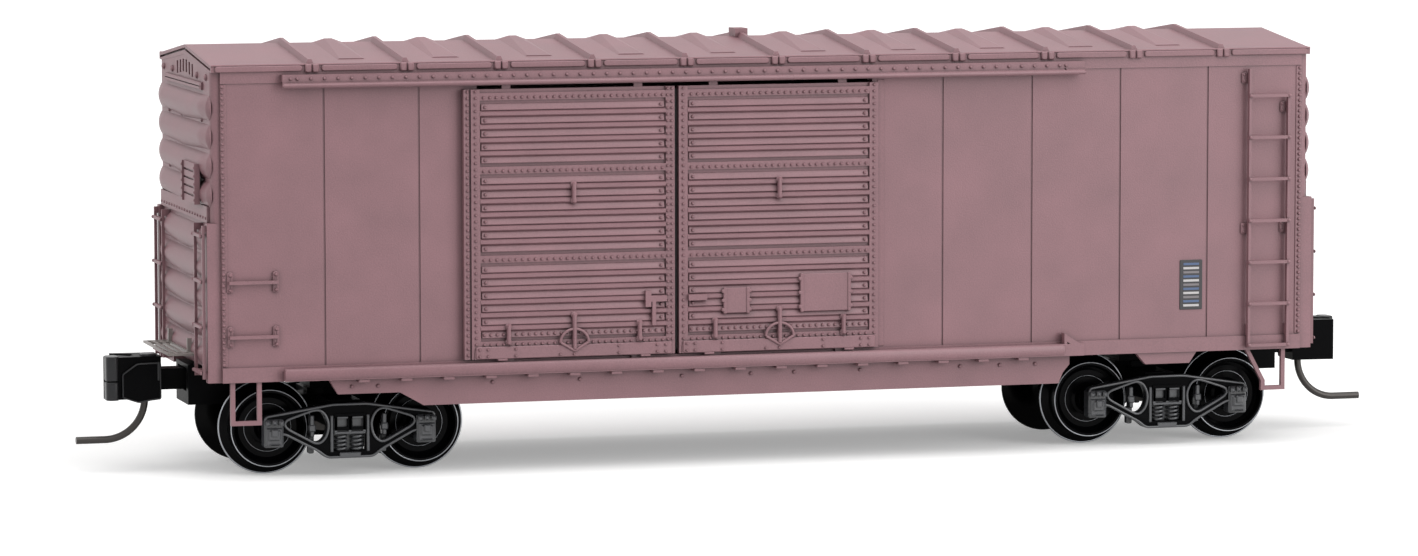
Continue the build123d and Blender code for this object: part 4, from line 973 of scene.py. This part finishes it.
@dataclass(frozen=True)
class EndTrim:
    """An end's rounded ribs, bolt heads, the large heads of the gable and the bar below them."""

    face: float = 39.1
    ribs: Places = (25.0, 23.07, 21.14, 19.21, 16.2, 14.27, 12.34, 10.41, 8.48)
    half_length: float = 8.72
    taper: float = 0.4
    fall: float = 0.5
    fall_start: float = 6.4
    top_edge: float = 0.93
    low_edge: float = 0.95
    low_edge_at_ends: float = 0.74
    climb_share: float = 0.8
    end_share: float = 0.3
    proud: float = 0.49
    sunk: float = 0.05
    dot_rows: Places = (24.2, 20.4)
    dot_places: Places = (-5.5, -1.0, 5.9)
    dot_head: Pair = (0.15, 0.14)
    gable_dots: Places = (-7.4, -4.3, 4.3, 7.4)
    gable_row: float = 27.1
    gable_head: Pair = (0.24, 0.2)
    lap_half: float = 7.8
    lap_row: float = 17.75
    lap_pitch: float = 0.9
    lap_proud: float = 0.2
    lap_head: Pair = (0.1, 0.08)
    bar_row: float = 26.45
    bar_size: Pair = (12.4, 0.52)
    bar_proud: float = 0.2
    bar_edge: Pair = (0.08, 0.25)

    def build(self) -> None:
        """Makes the trim of both ends."""
        heights = np.array(self.ribs)
        offsets = np.column_stack((np.zeros(len(heights)), heights, np.full(len(heights), self.face)))
        make_both_ends("end_ribs", self._rib().copies(offsets).mapped(Facing.LEFT), "car_body", PAINT)
        lap = row((-self.lap_half, self.lap_row), (self.lap_half, self.lap_row), self.lap_pitch)
        gable = crossed(self.gable_dots, (self.gable_row,))
        heads = [rivets(crossed(self.dot_places, self.dot_rows), self.face, Facing.LEFT, *self.dot_head),
                 rivets(gable, self.face, Facing.LEFT, *self.gable_head, sides=12),
                 rivets(lap, self.face + self.lap_proud, Facing.LEFT, *self.lap_head)]
        make_both_ends("end_bolts", joined(heads), "car_body", PAINT)
        bar = pads(((0.0, self.bar_row),), *self.bar_size, self.face, self.face + self.bar_proud,
                   Facing.LEFT, *self.bar_edge)
        make_both_ends("end_bar", bar, "car_body", PAINT)

    def _rib(self) -> Shape:
        """One pressed rib, a grid of u along it and v across it, from -1 to 1.

        Its height is c(u) * (1 - v^2) * e(u): the crown c falls smoothly from proud towards the corners,
        and e is a quarter circle at each end. The top edge is straight, and the lower edge climbs from
        the middle to the ends, so that the underside steepens there.

        Returns:
            The closed rib in across, up and outward.
        """
        u = np.linspace(-1, 1, 65)[:, None]
        v = np.cos(np.linspace(np.pi, 0, 15))[None]
        reach = np.abs(u) * self.half_length
        rise = np.clip((self.half_length - reach) / self.taper, 0, 1)
        ends = np.sqrt(rise * (2 - rise))
        fall = np.clip((reach - self.fall_start) / (self.half_length - self.fall_start), 0, 1)
        crown = self.proud * (1 - self.fall * fall * fall * (3 - 2 * fall))
        climb = np.clip(np.abs(u) / self.climb_share, 0, 1)
        low = self.low_edge + (self.low_edge_at_ends - self.low_edge) * climb
        middle = (self.top_edge - low) / 2
        half = (self.top_edge + low) / 2 * (self.end_share + (1 - self.end_share) * ends)
        top = np.stack((u * self.half_length + 0 * v, middle + half * v, crown * (1 - v**2) * ends), axis=-1)
        return closed_rings(np.concatenate((top * (1, 1, 0) - (0, 0, self.sunk), top[:, ::-1]), axis=1))


@dataclass(frozen=True)
class LadderTrim:
    """Bolt heads and bracket plates where the ladders, grab irons and boards are fastened."""

    sheet: float = 9.0
    sunk: float = 0.05
    stiles: Pair = (34.5, 37.4)
    rungs: tuple[float, float, int] = (7.15, 24.67, 7)
    rung_face: float = 9.7
    rung_head: Pair = (0.13, 0.08)
    brackets: Corners = ((34.22, 25.9), (34.22, 15.35), (37.12, 23.82), (37.12, 15.4))
    bracket_size: Pair = (0.42, 0.76)
    bracket_proud: float = 0.16
    bracket_edge: Pair = (0.05, 0.12)
    bracket_bolts: Corners = ((-0.06, -0.22), (-0.06, 0.22))
    bracket_head: Pair = (0.09, 0.08)
    grab_feet: Pair = (-37.95, -34.85)
    grab_rows: Pair = (9.85, 13.5)
    foot_size: Pair = (0.36, 1.45)
    foot_proud: float = 0.17
    foot_edge: Pair = (0.06, 0.16)
    foot_bolts: Corners = ((0.0, -0.5), (0.0, 0.5))
    foot_head: Pair = (0.13, 0.12)
    end_stiles: Places = (-8.5, -5.75, 5.75, 8.5)
    end_rungs: tuple[float, float, int] = (7.45, 16.6, 4)
    end_face: float = 39.83
    end_head: Pair = (0.12, 0.08)
    board_nails: Pair = (2.43, 6.77)
    nail_rows: tuple[float, float, int] = (18.87, 21.03, 5)
    board_face: float = 39.86
    nail_head: Pair = (0.1, 0.08)

    def build(self) -> None:
        """Makes the fastenings of both sides and ends."""
        rungs = crossed(self.stiles, np.linspace(*self.rungs))
        heads, plates = [rivets(rungs, self.rung_face, Facing.FRONT, *self.rung_head)], []
        feet = crossed(self.grab_feet, self.grab_rows)
        for places, size, proud, edge, bolts, head in (
                (np.array(self.brackets), self.bracket_size, self.bracket_proud, self.bracket_edge,
                 self.bracket_bolts, self.bracket_head),
                (feet, self.foot_size, self.foot_proud, self.foot_edge, self.foot_bolts, self.foot_head)):
            face = self.sheet + proud
            plates.append(pads(places, *size, self.sheet - self.sunk, face, Facing.FRONT, *edge))
            spots = np.concatenate([places + bolt for bolt in bolts])
            heads.append(rivets(spots, face, Facing.FRONT, *head))
        make_both_sides("ladder_bolts", joined(heads), "car_body", PAINT)
        make_both_sides("ladder_plates", joined(plates), "car_body", PAINT)
        rungs = crossed(self.end_stiles, np.linspace(*self.end_rungs))
        nails = crossed(self.board_nails, np.linspace(*self.nail_rows))
        heads = [rivets(rungs, self.end_face, Facing.LEFT, *self.end_head),
                 rivets(nails, self.board_face, Facing.LEFT, *self.nail_head)]
        make_both_ends("end_ladder_bolts", joined(heads), "car_body", PAINT)


@dataclass(frozen=True)
class Wheelset:
    """An axle with two wheels: rounded flange, dished plate and hub, and thin bright rings at its edges that
    paint the glints of its gloss.

    Rows of the section give distance along the axle, from the wheel's back or front or from the stub's
    end, and radius, from the axis or from the radius of the flange or the tread.
    """

    body: str
    place: float
    axle_height: float = 3.25
    axle: float = 0.6
    tread: float = 2.62
    flange: float = 3.25
    back: float = 3.8
    front: float = 5.5
    stub_end: float = 6.75
    back_rows: Corners = ((-0.25, 0.6), (-0.12, 0.75), (-0.02, 1.1), (0.0, 1.4))
    flange_rows: Corners = ((0.0, -0.14), (0.05, -0.04), (0.15, 0.0), (0.27, -0.05), (0.38, -0.2))
    tread_rows: Corners = ((0.46, 0.2), (0.6, 0.06), (0.72, 0.03))
    rim_rows: Corners = ((-0.06, 0.0), (0.0, -0.06), (0.0, -0.2), (-0.06, -0.26), (-0.42, -0.36),
                         (-0.6, -0.6))
    dish_rows: Corners = ((-0.58, 1.15), (-0.45, 0.95), (-0.1, 0.82), (0.0, 0.74), (0.02, 0.42))
    stub_rows: Corners = ((-0.25, 0.42), (-0.05, 0.3), (0.0, 0.12))
    rim_edge: Triple = (5.47, 2.59, 0.04)
    flange_edge: Triple = (4.04, 3.17, 0.075)
    dish_edge: Triple = (4.91, 1.62, 0.02)

    def build(self) -> None:
        """Makes the black wheelset and the thin bright rings of painted glint at its edges: distance along
        the axle, radius and wire.
        """
        centre = (self.place, 0.0, self.axle_height)
        turned_shape = lathe(self._profile(), centre, "Y", sides=72)
        piece = make_piece(f"{self.body}_turned", turned_shape, self.body, WHEEL, sharp=30.0)
        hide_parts(self.body)
        turn = np.arange(8) * np.pi / 4
        circle = np.column_stack((np.sin(turn), np.cos(turn)))
        edges = (self.rim_edge, self.flange_edge, self.dish_edge)
        rings = [ring(circle * wire + (side * along, radius), centre, "Y")
                 for side in (-1, 1) for along, radius, wire in edges]
        # The bright rings are painted glints at the tread, the flange and the dish.
        make_piece(f"{self.body}_edges", joined(rings), self.body, WHEEL_GLINT, sharp=60.0)

    def _profile(self) -> np.ndarray:
        """The section from one stub's end to the other, its second half the mirror of its first."""
        steps = ((self.back_rows, self.back, 0.0), (self.flange_rows, self.back, self.flange),
                 (self.tread_rows, self.back, self.tread), (self.rim_rows, self.front, self.tread),
                 (self.dish_rows, self.front, 0.0), (self.stub_rows, self.stub_end, 0.0))
        half = np.concatenate([((0.0, self.axle),),
                               *(np.array(rows) + (along, out) for rows, along, out in steps)])
        return np.concatenate((half[:0:-1] * (-1, 1), half))


@dataclass(frozen=True)
class Truck:
    """The side frames of a truck: flanged castings with springs, journal boxes and brake hangers.

    Outlines and bosses lie about the truck's middle at the height of its axles, and those of a journal
    box about the middle of the box.
    """

    centre: float = -29.4
    axle: float = 3.25
    half_base: float = 5.25
    inner: float = 6.25
    outer: float = 6.95
    edge: float = 0.05
    half_outline: Corners = ((1.2, 1.72), (4.5, 1.2), (5.9, 0.98), (5.9, -0.5), (4.55, -0.3), (2.2, -1.55),
                             (1.62, -2.02))
    outline_round: float = 0.3
    window: Corners = ((2.2, -0.98), (4.36, 0.2), (4.42, 0.58), (2.3, 1.28), (1.82, 1.05), (1.52, 0.35),
                       (1.68, -0.5))
    window_round: float = 0.42
    opening: Corners = ((-1.1, -1.55), (1.1, -1.55), (1.1, 0.95), (-1.1, 0.95))
    opening_round: float = 0.12
    flange: float = 0.17
    flange_proud: float = 0.14
    flange_edge: float = 0.07
    spring_seat: Boss = Boss(((0.0, -1.8),), (1.45, 0.34), (6.6, 7.1), (0.05, 0.05))
    columns: Boss = Boss(((-1.25, -0.35), (1.25, -0.35)), (0.2, 2.5), (6.6, 7.05), (0.05, 0.05))
    bolster_rims: Boss = Boss(((0.0, 0.75), (0.0, -0.3)), (2.14, 0.2), (6.6, 7.05), (0.04, 0.04))
    bolster_ribs: Boss = Boss(((-0.98, 0.2), (0.0, 0.2), (0.98, 0.2)), (0.22, 1.0), (6.6, 7.05),
                              (0.04, 0.04))
    bolster_end: Boss = Boss(((0.0, 0.22),), (2.1, 1.1), (6.35, 6.79), (0.04, 0.04))
    spring_back: Boss = Boss(((0.0, -0.95),), (2.1, 1.3), (6.2, 6.33), (0.04, 0.04))
    hangers: Boss = Boss(((-2.5, 0.15), (2.5, 0.15)), (0.3, 1.5), (5.9, 6.5), (0.06, 0.08))
    hanger_heads: Boss = Boss(((-2.5, 0.0), (2.5, 0.0)), (0.5, 0.5), (6.15, 6.57), (0.08, 0.1))
    brake_shoes: Boss = Boss(((-2.5, -1.15), (2.5, -1.15)), (0.4, 1.2), (5.65, 6.15), (0.08, 0.1))
    box_middle: float = -0.18
    box_body: Boss = Boss(((0.0, 0.0),), (1.32, 1.9), (6.15, 7.18), (0.12, 0.12))
    box_lid: Boss = Boss(((0.0, -0.22),), (1.16, 1.24), (7.1, 7.32), (0.1, 0.08))
    box_step: Boss = Boss(((0.0, -0.1),), (0.86, 0.72), (7.2, 7.46), (0.1, 0.08))
    box_boss: Boss = Boss(((0.0, 0.06),), (0.46, 0.52), (7.3, 7.6), (0.08, 0.08))
    box_drain: Boss = Boss(((0.0, -0.76),), (0.8, 0.2), (7.2, 7.42), (0.08, 0.08))
    box_lugs: Boss = Boss(((-0.46, 0.72), (0.0, 0.76), (0.46, 0.72)), (0.34, 0.36), (7.1, 7.52), (0.1, 0.1))
    spring_places: Pair = (-0.55, 0.55)
    spring_span: Pair = (-1.6, -0.38)
    spring_turns: float = 4.5
    spring_radii: Pair = (0.36, 0.3)
    spring_depth: float = 6.62
    spring_wire: float = 0.085

    def build(self) -> None:
        """Makes the frames of both trucks, each standing for its solids."""
        web, highlit_flanges = self._frame()
        self._make("truck_frames", web, PLASTIC, ("sideframes",))
        # The flanges, boxes and springs take the paler copy of the black plastic, as painted highlight.
        self._make("truck_flanges", highlit_flanges, BLACK_HIGHLIGHT)
        bosses = (self.box_body, self.box_lid, self.box_step, self.box_boss, self.box_drain, self.box_lugs)
        box = joined([boss.shape(Facing.FRONT) for boss in bosses])
        height = self.axle + self.box_middle
        boxes = box.copies(((-self.half_base, 0.0, height), (self.half_base, 0.0, height)))
        self._make("journal_boxes", boxes, BLACK_HIGHLIGHT)
        self._make("truck_springs", joined(self._springs()), BLACK_HIGHLIGHT)

    def _make(self, name: str, shape: Shape, finish: Finish, replaces: tuple[str, ...] = ()) -> None:
        """A piece of both trucks, from its shape on the -Y side of one and a twin on the other side."""
        whole = joined([shape, shape.half_turn()]).moved(x=self.centre)
        make_both_ends(name, whole, "truck_{side}", finish, replaces)

    def _frame(self) -> tuple[Shape, Shape]:
        """One cast frame on the -Y side, about the truck's middle.

        Returns:
            Its web, and the flange round its outline and windows with the ribs and hangers.
        """
        right, window, opening = (np.array(points) + (0.0, self.axle)
                                  for points in (self.half_outline, self.window, self.opening))
        outline = rounded_corners(np.concatenate((right * (-1, 1), right[::-1])), self.outline_round)
        windows = [rounded_corners(hole, self.window_round) for hole in (window, (window * (-1, 1))[::-1])]
        middle, thickness = (self.inner + self.outer) / 2, self.outer - self.inner
        loops = [outline, *windows, rounded_corners(opening, self.opening_round)]
        web = casting("side_frame", loops, thickness, self.edge).mapped(Facing.FRONT).moved(y=-middle)
        parts = []
        for loop, shift in ((outline, -self.flange), *((hole, self.flange) for hole in windows)):
            band = casting("frame_flange", [loop, grown(loop, shift)], thickness + self.flange_proud,
                           self.flange_edge)
            parts.append(band.mapped(Facing.FRONT).moved(y=-middle - self.flange_proud / 2))
        bosses = (self.spring_seat, self.columns, self.bolster_rims, self.bolster_ribs, self.bolster_end,
                  self.spring_back, self.hangers, self.hanger_heads, self.brake_shoes)
        parts += [boss.shape(Facing.FRONT).moved(z=self.axle) for boss in bosses]
        return web, joined(parts)

    def _springs(self) -> list[Shape]:
        """The two coil springs: a circle carried along a helix, between seat and bolster."""
        low, high = (self.axle + level for level in self.spring_span)
        s = np.linspace(0, 1, 100)
        angle = 2 * np.pi * self.spring_turns * s
        wide, deep = self.spring_radii[0] * np.cos(angle), self.spring_radii[1] * np.sin(angle)
        paths = [np.column_stack((x + wide, deep - self.spring_depth, low + (high - low) * s))
                 for x in self.spring_places]
        return [tube(path, self.spring_wire, sides=8, side=(0, 0, 1)) for path in paths]


@dataclass(frozen=True)
class Coupler:
    """A hook coupler's rounded knuckle, pin boss, ribbed side plate with its raised edge, and bent trip pin.

    A plate's depth is that of its middle, its thickness and its bevel.
    """

    knuckle: Corners = ((-44.97, -0.2), (-44.97, -1.62), (-44.1, -1.66), (-44.1, -0.2))
    knuckle_levels: Corners = ((5.0, 6.25), (6.32, 7.98))
    knuckle_round: float = 0.35
    knuckle_edge: float = 0.06
    boss: Boss = Boss(((-41.95, -0.6),), (1.05, 1.2), (7.83, 8.09), (0.08, 0.25))
    rib: Boss = Boss(((-41.42, 6.9),), (0.16, 1.2), (1.4, 1.74), (0.04, 0.05))
    plate: Corners = ((-43.92, 5.18), (-42.8, 4.8), (-41.95, 4.95), (-41.25, 5.02), (-41.25, 7.55),
                      (-42.9, 7.5), (-43.92, 6.8))
    plate_round: float = 0.15
    plate_depth: Triple = (1.52, 0.3, 0.07)
    edge_width: float = 0.1
    edge_depth: Triple = (1.55, 0.36, 0.045)
    pin_place: float = -42.1
    pin_top: float = 5.15
    pin_bottom: float = 2.2
    bend: float = 2.75
    bend_lead: Pair = (0.1, 0.2)
    pin_radius: float = 0.25
    pin_tail: float = 1.98

    def build(self) -> None:
        """Makes both couplers' trim and pins."""
        face = rounded_corners(np.array(self.knuckle), self.knuckle_round)
        parts = [casting("knuckle", [face], high - low,
                         self.knuckle_edge).mapped(Facing.UP).moved(z=(high + low) / 2)
                 for low, high in self.knuckle_levels]
        outline = rounded_corners(np.array(self.plate), self.plate_round)
        depth, thickness, bevel = self.edge_depth
        edge = casting("plate_edge", [outline, grown(outline, -self.edge_width)], thickness, bevel)
        parts += [self.boss.shape(Facing.UP), self.rib.shape(Facing.FRONT),
                  edge.mapped(Facing.FRONT).moved(y=-depth)]
        # The knuckle, boss, rib and plate edge are paler than the black side plate, as painted highlight.
        make_both_ends("coupler_knuckle", joined(parts), "coupler_{side}", BLACK_SOFT_HIGHLIGHT)
        depth, thickness, bevel = self.plate_depth
        side = casting("side_plate", [outline], thickness, bevel).mapped(Facing.FRONT).moved(y=-depth)
        make_both_ends("coupler_plate", side, "coupler_{side}", PLASTIC)
        pin = tube(self._pin_path(), self.pin_radius, sides=14)
        make_both_ends("trip_pin_bent", pin, "coupler_{side}", BLUED, ("trip_pin",))

    def _pin_path(self) -> np.ndarray:
        """The pin's middle: straight down, a quarter circle outwards, and a level tail."""
        turn = np.linspace(0, np.pi / 2, 24)
        high, end = self.pin_bottom + self.bend, self.pin_place - self.bend
        above, beyond = self.bend_lead
        arc = np.column_stack((end + self.bend * np.cos(turn), 0 * turn, high - self.bend * np.sin(turn)))
        start = ((self.pin_place, 0, self.pin_top), (self.pin_place, 0, high + above))
        stop = ((end - beyond, 0, self.pin_bottom), (end - self.pin_tail, 0, self.pin_bottom))
        return np.concatenate((start, arc, stop))


@dataclass(frozen=True)
class BrakeGear:
    """The air brake's domed reservoir, cylinder, valve and pipes under the floor.

    Rows of a section give distance along the car and radius.
    """

    dome_rows: Corners = ((2.5, 1.35), (2.75, 1.25), (3.0, 0.95), (3.16, 0.5), (3.2, 0.1))
    tank_place: Triple = (-2.5, -4.6, 5.95)
    band_rows: Corners = ((-0.2, 1.3), (-0.2, 1.42), (0.2, 1.42), (0.2, 1.3))
    band_places: Pair = (-4.1, -0.9)
    barrel_rows: Corners = ((-1.8, 0.1), (-1.8, 0.7), (-1.65, 0.8), (-1.6, 0.95), (1.3, 0.95), (1.3, 1.12),
                            (1.6, 1.12), (1.65, 0.9), (1.8, 0.5), (1.85, 0.18), (4.2, 0.16), (4.2, 0.05))
    barrel_place: Triple = (3.4, 4.2, 6.35)
    straps: Boss = Boss(((-4.1, 4.6), (-0.9, 4.6)), (0.5, 0.9), (-7.6, -6.6), (0.05, 0.05))
    barrel_foot: Boss = Boss(((3.4, -4.2),), (1.9, 0.9), (-7.6, -6.5), (0.05, 0.05))
    valve: Boss = Boss(((7.8, 4.0),), (1.5, 1.6), (-7.6, -5.9), (0.15, 0.2))
    valve_foot: Boss = Boss(((7.8, 4.8),), (0.8, 0.9), (-7.6, -6.3), (0.1, 0.2))
    train_pipe: tuple[Triple, ...] = ((-26.0, 2.2, 7.2), (0.0, 2.2, 7.2), (26.0, 2.2, 7.2))
    train_pipe_radius: float = 0.16
    tank_pipe: tuple[Triple, ...] = ((0.7, -4.6, 5.95), (3.5, -4.5, 6.1), (7.1, -4.0, 6.4))
    valve_pipe: tuple[Triple, ...] = ((7.8, -3.3, 6.7), (7.6, -1.5, 7.0), (7.6, 2.2, 7.2))
    pipe_radius: float = 0.12

    def build(self) -> None:
        """Makes the gear, standing for its solids."""
        dome = np.array(self.dome_rows)
        parts = [lathe(np.concatenate((dome[::-1] * (-1, 1), dome)), self.tank_place, "X", sides=40),
                 lathe(np.array(self.barrel_rows), self.barrel_place, "X", sides=40)]
        parts += [lathe(np.array(self.band_rows), (x, *self.tank_place[1:]), "X", sides=40)
                  for x in self.band_places]
        parts += [boss.shape(Facing.DOWN)
                  for boss in (self.straps, self.barrel_foot, self.valve, self.valve_foot)]
        gear = make_piece("brake_gear_domed", joined(parts), "car_body", PLASTIC)
        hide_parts("brake_gear")
        pipes = [tube(np.array(self.train_pipe), self.train_pipe_radius, sides=10),
                 tube(np.array(self.tank_pipe), self.pipe_radius, sides=10),
                 tube(np.array(self.valve_pipe), self.pipe_radius, sides=10, side=(0, 0, 1))]
        make_piece("brake_pipes", joined(pipes), "car_body", BLUED)


@dataclass(frozen=True)
class HandBrake:
    """The hand brake's round-rimmed wheel with five spokes."""

    place: Triple = (40.59, -2.6, 20.2)
    radius: float = 1.6
    wire: float = 0.14
    hub_rows: Corners = ((-0.14, 0.4), (0.1, 0.42), (0.13, 0.3), (0.14, 0.08))
    spoke: float = 0.11
    spokes: int = 5
    spoke_start: float = 0.2
    spoke_dish: Places = (0.05, 0.03, 0.0, 0.0)

    def build(self) -> None:
        """Makes the wheel, standing for its solid."""
        section = np.arange(10) * 2 * np.pi / 10
        circle = np.column_stack((self.wire * np.sin(section), self.radius + self.wire * np.cos(section)))
        parts = [ring(circle, self.place, "X", sides=48),
                 lathe(np.array(self.hub_rows), self.place, "X", sides=24)]
        out = np.linspace(self.spoke_start, self.radius, len(self.spoke_dish))
        for angle in np.arange(self.spokes) * 2 * np.pi / self.spokes + np.pi / 2:
            path = np.column_stack((self.spoke_dish, out * math.cos(angle), out * math.sin(angle)))
            parts.append(tube(path + np.array(self.place), self.spoke, sides=8, side=(1, 0, 0)))
        wheel = make_piece("brake_wheel_spoked", joined(parts), "car_body", PAINT)
        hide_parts("brake_wheel")


@dataclass(frozen=True)
class Studio:
    """The floor, the soft lights and the camera at the photograph's angle."""

    camera_place: Triple = (-110.861, -372.063, 48.263)
    yaw: float = -16.29
    pitch: float = 5.338
    roll: float = -0.07
    lens: float = 141.53
    sensor: float = 36.0
    floor_size: float = 6.0
    floor_colour: Triple = (0.4, 0.4, 0.4)
    seen_colour: Triple = (0.9, 0.9, 0.895)
    seen_lift: float = 0.3
    paper_roughness: float = 0.8
    world_light: float = 0.28
    panel_place: Triple = (0.29, -0.33, 0.14)
    panel_aim: Triple = (0.01, 0.0, 0.015)
    panel_size: float = 0.3
    panel_power: float = 1.1
    suns: tuple[tuple[str, Triple, float, float], ...] = (
        ("top_light", (0.1, -0.35, 1.0), 60.0, 1.6), ("left_light", (-1.0, -0.1, 0.9), 60.0, 0.95))
    clip: Pair = (0.01, 20.0)

    def build(self) -> None:
        """Makes the stage."""
        self._floor()
        self._world()
        self._lights()
        self._camera()
        bpy.context.scene.view_settings.view_transform = "Standard"

    def _floor(self) -> None:
        """A wide pale plane level with the flanges, which sends less light up than the camera sees."""
        half = self.floor_size / 2
        mesh = bpy.data.meshes.new("studio_floor")
        around = [(-half, -half, 0), (half, -half, 0), (half, half, 0), (-half, half, 0)]
        mesh.from_pydata(around, [], [(0, 1, 2, 3)])
        floor = bpy.data.objects.new("studio_floor", mesh)
        bpy.context.scene.collection.objects.link(floor)
        material = bpy.data.materials.new("studio_paper")
        material.use_nodes = True
        tree = material.node_tree
        seen = tree.nodes["Principled BSDF"]
        seen.inputs["Base Color"].default_value = (*self.seen_colour, 1.0)
        seen.inputs["Emission Color"].default_value = (1.0, 1.0, 1.0, 1.0)
        seen.inputs["Emission Strength"].default_value = self.seen_lift
        bounce, mix = tree.nodes.new("ShaderNodeBsdfPrincipled"), tree.nodes.new("ShaderNodeMixShader")
        bounce.inputs["Base Color"].default_value = (*self.floor_colour, 1.0)
        for shader in (seen, bounce):
            shader.inputs["Roughness"].default_value = self.paper_roughness
            shader.inputs["Specular IOR Level"].default_value = 0.0
        tree.links.new(self._seen(tree), mix.inputs[0])
        tree.links.new(bounce.outputs[0], mix.inputs[1])
        tree.links.new(seen.outputs[0], mix.inputs[2])
        tree.links.new(mix.outputs[0], tree.nodes["Material Output"].inputs["Surface"])
        mesh.materials.append(material)

    def _seen(self, tree: bpy.types.NodeTree) -> bpy.types.NodeSocket:
        """1 for a ray from the camera, or one that gloss or glass sends on, and 0 for any other."""
        path = tree.nodes.new("ShaderNodeLightPath")
        seen = math_node(tree, "MAXIMUM", path.outputs["Is Camera Ray"], path.outputs["Is Glossy Ray"])
        return math_node(tree, "MAXIMUM", seen, path.outputs["Is Transmission Ray"])

    def _world(self) -> None:
        """A soft white surround, seen as plain white by the camera and in reflections."""
        world = bpy.data.worlds.new("studio_white")
        bpy.context.scene.world = world
        world.use_nodes = True
        tree = world.node_tree
        tree.nodes.clear()
        soft, white, mix, out = (tree.nodes.new(f"ShaderNode{kind}") for kind in
                                 ("Background", "Background", "MixShader", "OutputWorld"))
        soft.inputs["Strength"].default_value = self.world_light
        soft.inputs["Color"].default_value = white.inputs["Color"].default_value = (1.0, 1.0, 1.0, 1.0)
        tree.links.new(self._seen(tree), mix.inputs[0])
        tree.links.new(soft.outputs[0], mix.inputs[1])
        tree.links.new(white.outputs[0], mix.inputs[2])
        tree.links.new(mix.outputs[0], out.inputs["Surface"])

    def _lights(self) -> None:
        """One square soft panel near the car, and two far lights as soft as their spread in degrees."""
        panel = self._light("key_light", "AREA", self.panel_place, self.panel_aim)
        panel.size, panel.energy = self.panel_size, self.panel_power
        for name, place, spread, strength in self.suns:
            sun = self._light(name, "SUN", place, (0.0, 0.0, 0.0))
            sun.angle, sun.energy = math.radians(spread), strength

    def _light(self, name: str, kind: str, place: Triple, aim: Triple) -> bpy.types.Light:
        """A light at a place, in metres, that looks at its aim.

        Args:
            name: Of the light.
            kind: What sort of light.
            place: Where it stands.
            aim: Where it looks.

        Returns:
            The light's data, for its size and strength.
        """
        data = bpy.data.lights.new(name, kind)
        lamp = bpy.data.objects.new(name, data)
        lamp.location = place
        lamp.rotation_euler = (Vector(aim) - Vector(place)).to_track_quat("-Z", "Y").to_euler()
        bpy.context.scene.collection.objects.link(lamp)
        return data

    def _camera(self) -> None:
        """A camera at the place, angle and focal length that fit the photograph."""
        yaw, pitch = math.radians(self.yaw), math.radians(self.pitch)
        back = Vector((math.sin(yaw) * math.cos(pitch), -math.cos(yaw) * math.cos(pitch), math.sin(pitch)))
        data = bpy.data.cameras.new("studio_camera")
        data.lens, data.sensor_width, data.sensor_fit = self.lens, self.sensor, "HORIZONTAL"
        data.clip_start, data.clip_end = self.clip
        camera = bpy.data.objects.new("studio_camera", data)
        turn = (-back).to_track_quat("-Z", "Y").to_matrix().to_4x4()
        roll = Matrix.Rotation(math.radians(self.roll), 4, "Z")
        camera.matrix_world = Matrix.Translation(Vector(self.camera_place) * MM) @ turn @ roll
        bpy.context.scene.collection.objects.link(camera)
        bpy.context.scene.camera = camera


def dress_solids(frame: dict) -> None:
    """Gives every solid the finish of its slot.
    """
    for part in frame["record"]["subparts"]:
        solid = frame["nodes"][part["node"]]
        material = FINISH_OF_SLOT[part["material_slot"]].material()
        if solid.material_slots:
            for slot in solid.material_slots:
                slot.material = material
        else:
            solid.data.materials.append(material)


def corners(box: tuple[Vector, Vector]) -> list[list[float]]:
    """A box's two corners as plain numbers."""
    return [list(corner) for corner in box]


def main() -> None:
    """Loads the frame, dresses it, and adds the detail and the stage."""
    logging.basicConfig(level=logging.INFO, format="%(name)s: %(message)s")
    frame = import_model()
    dress_solids(frame)
    RoofTrim().build()
    SideTrim().build()
    DoorTrim("door_left", -21.55, stile_columns=(0.3, 13.7, 14.0), edge_bar=True).build()
    DoorTrim("door_right", -7.05, placards=((-3.93, 10.59, 1.82, 1.66), (1.55, 10.55, 3.58, 2.52))).build()
    EndTrim().build()
    LadderTrim().build()
    truck = Truck()
    for end, sign in (("left", -1), ("right", 1)):
        for which, offset in (("outer", truck.half_base), ("inner", -truck.half_base)):
            Wheelset(f"wheelset_{which}_{end}", sign * (offset - truck.centre)).build()
    truck.build()
    Coupler().build()
    BrakeGear().build()
    HandBrake().build()
    Studio().build()


if __name__ == "__main__":
    main()
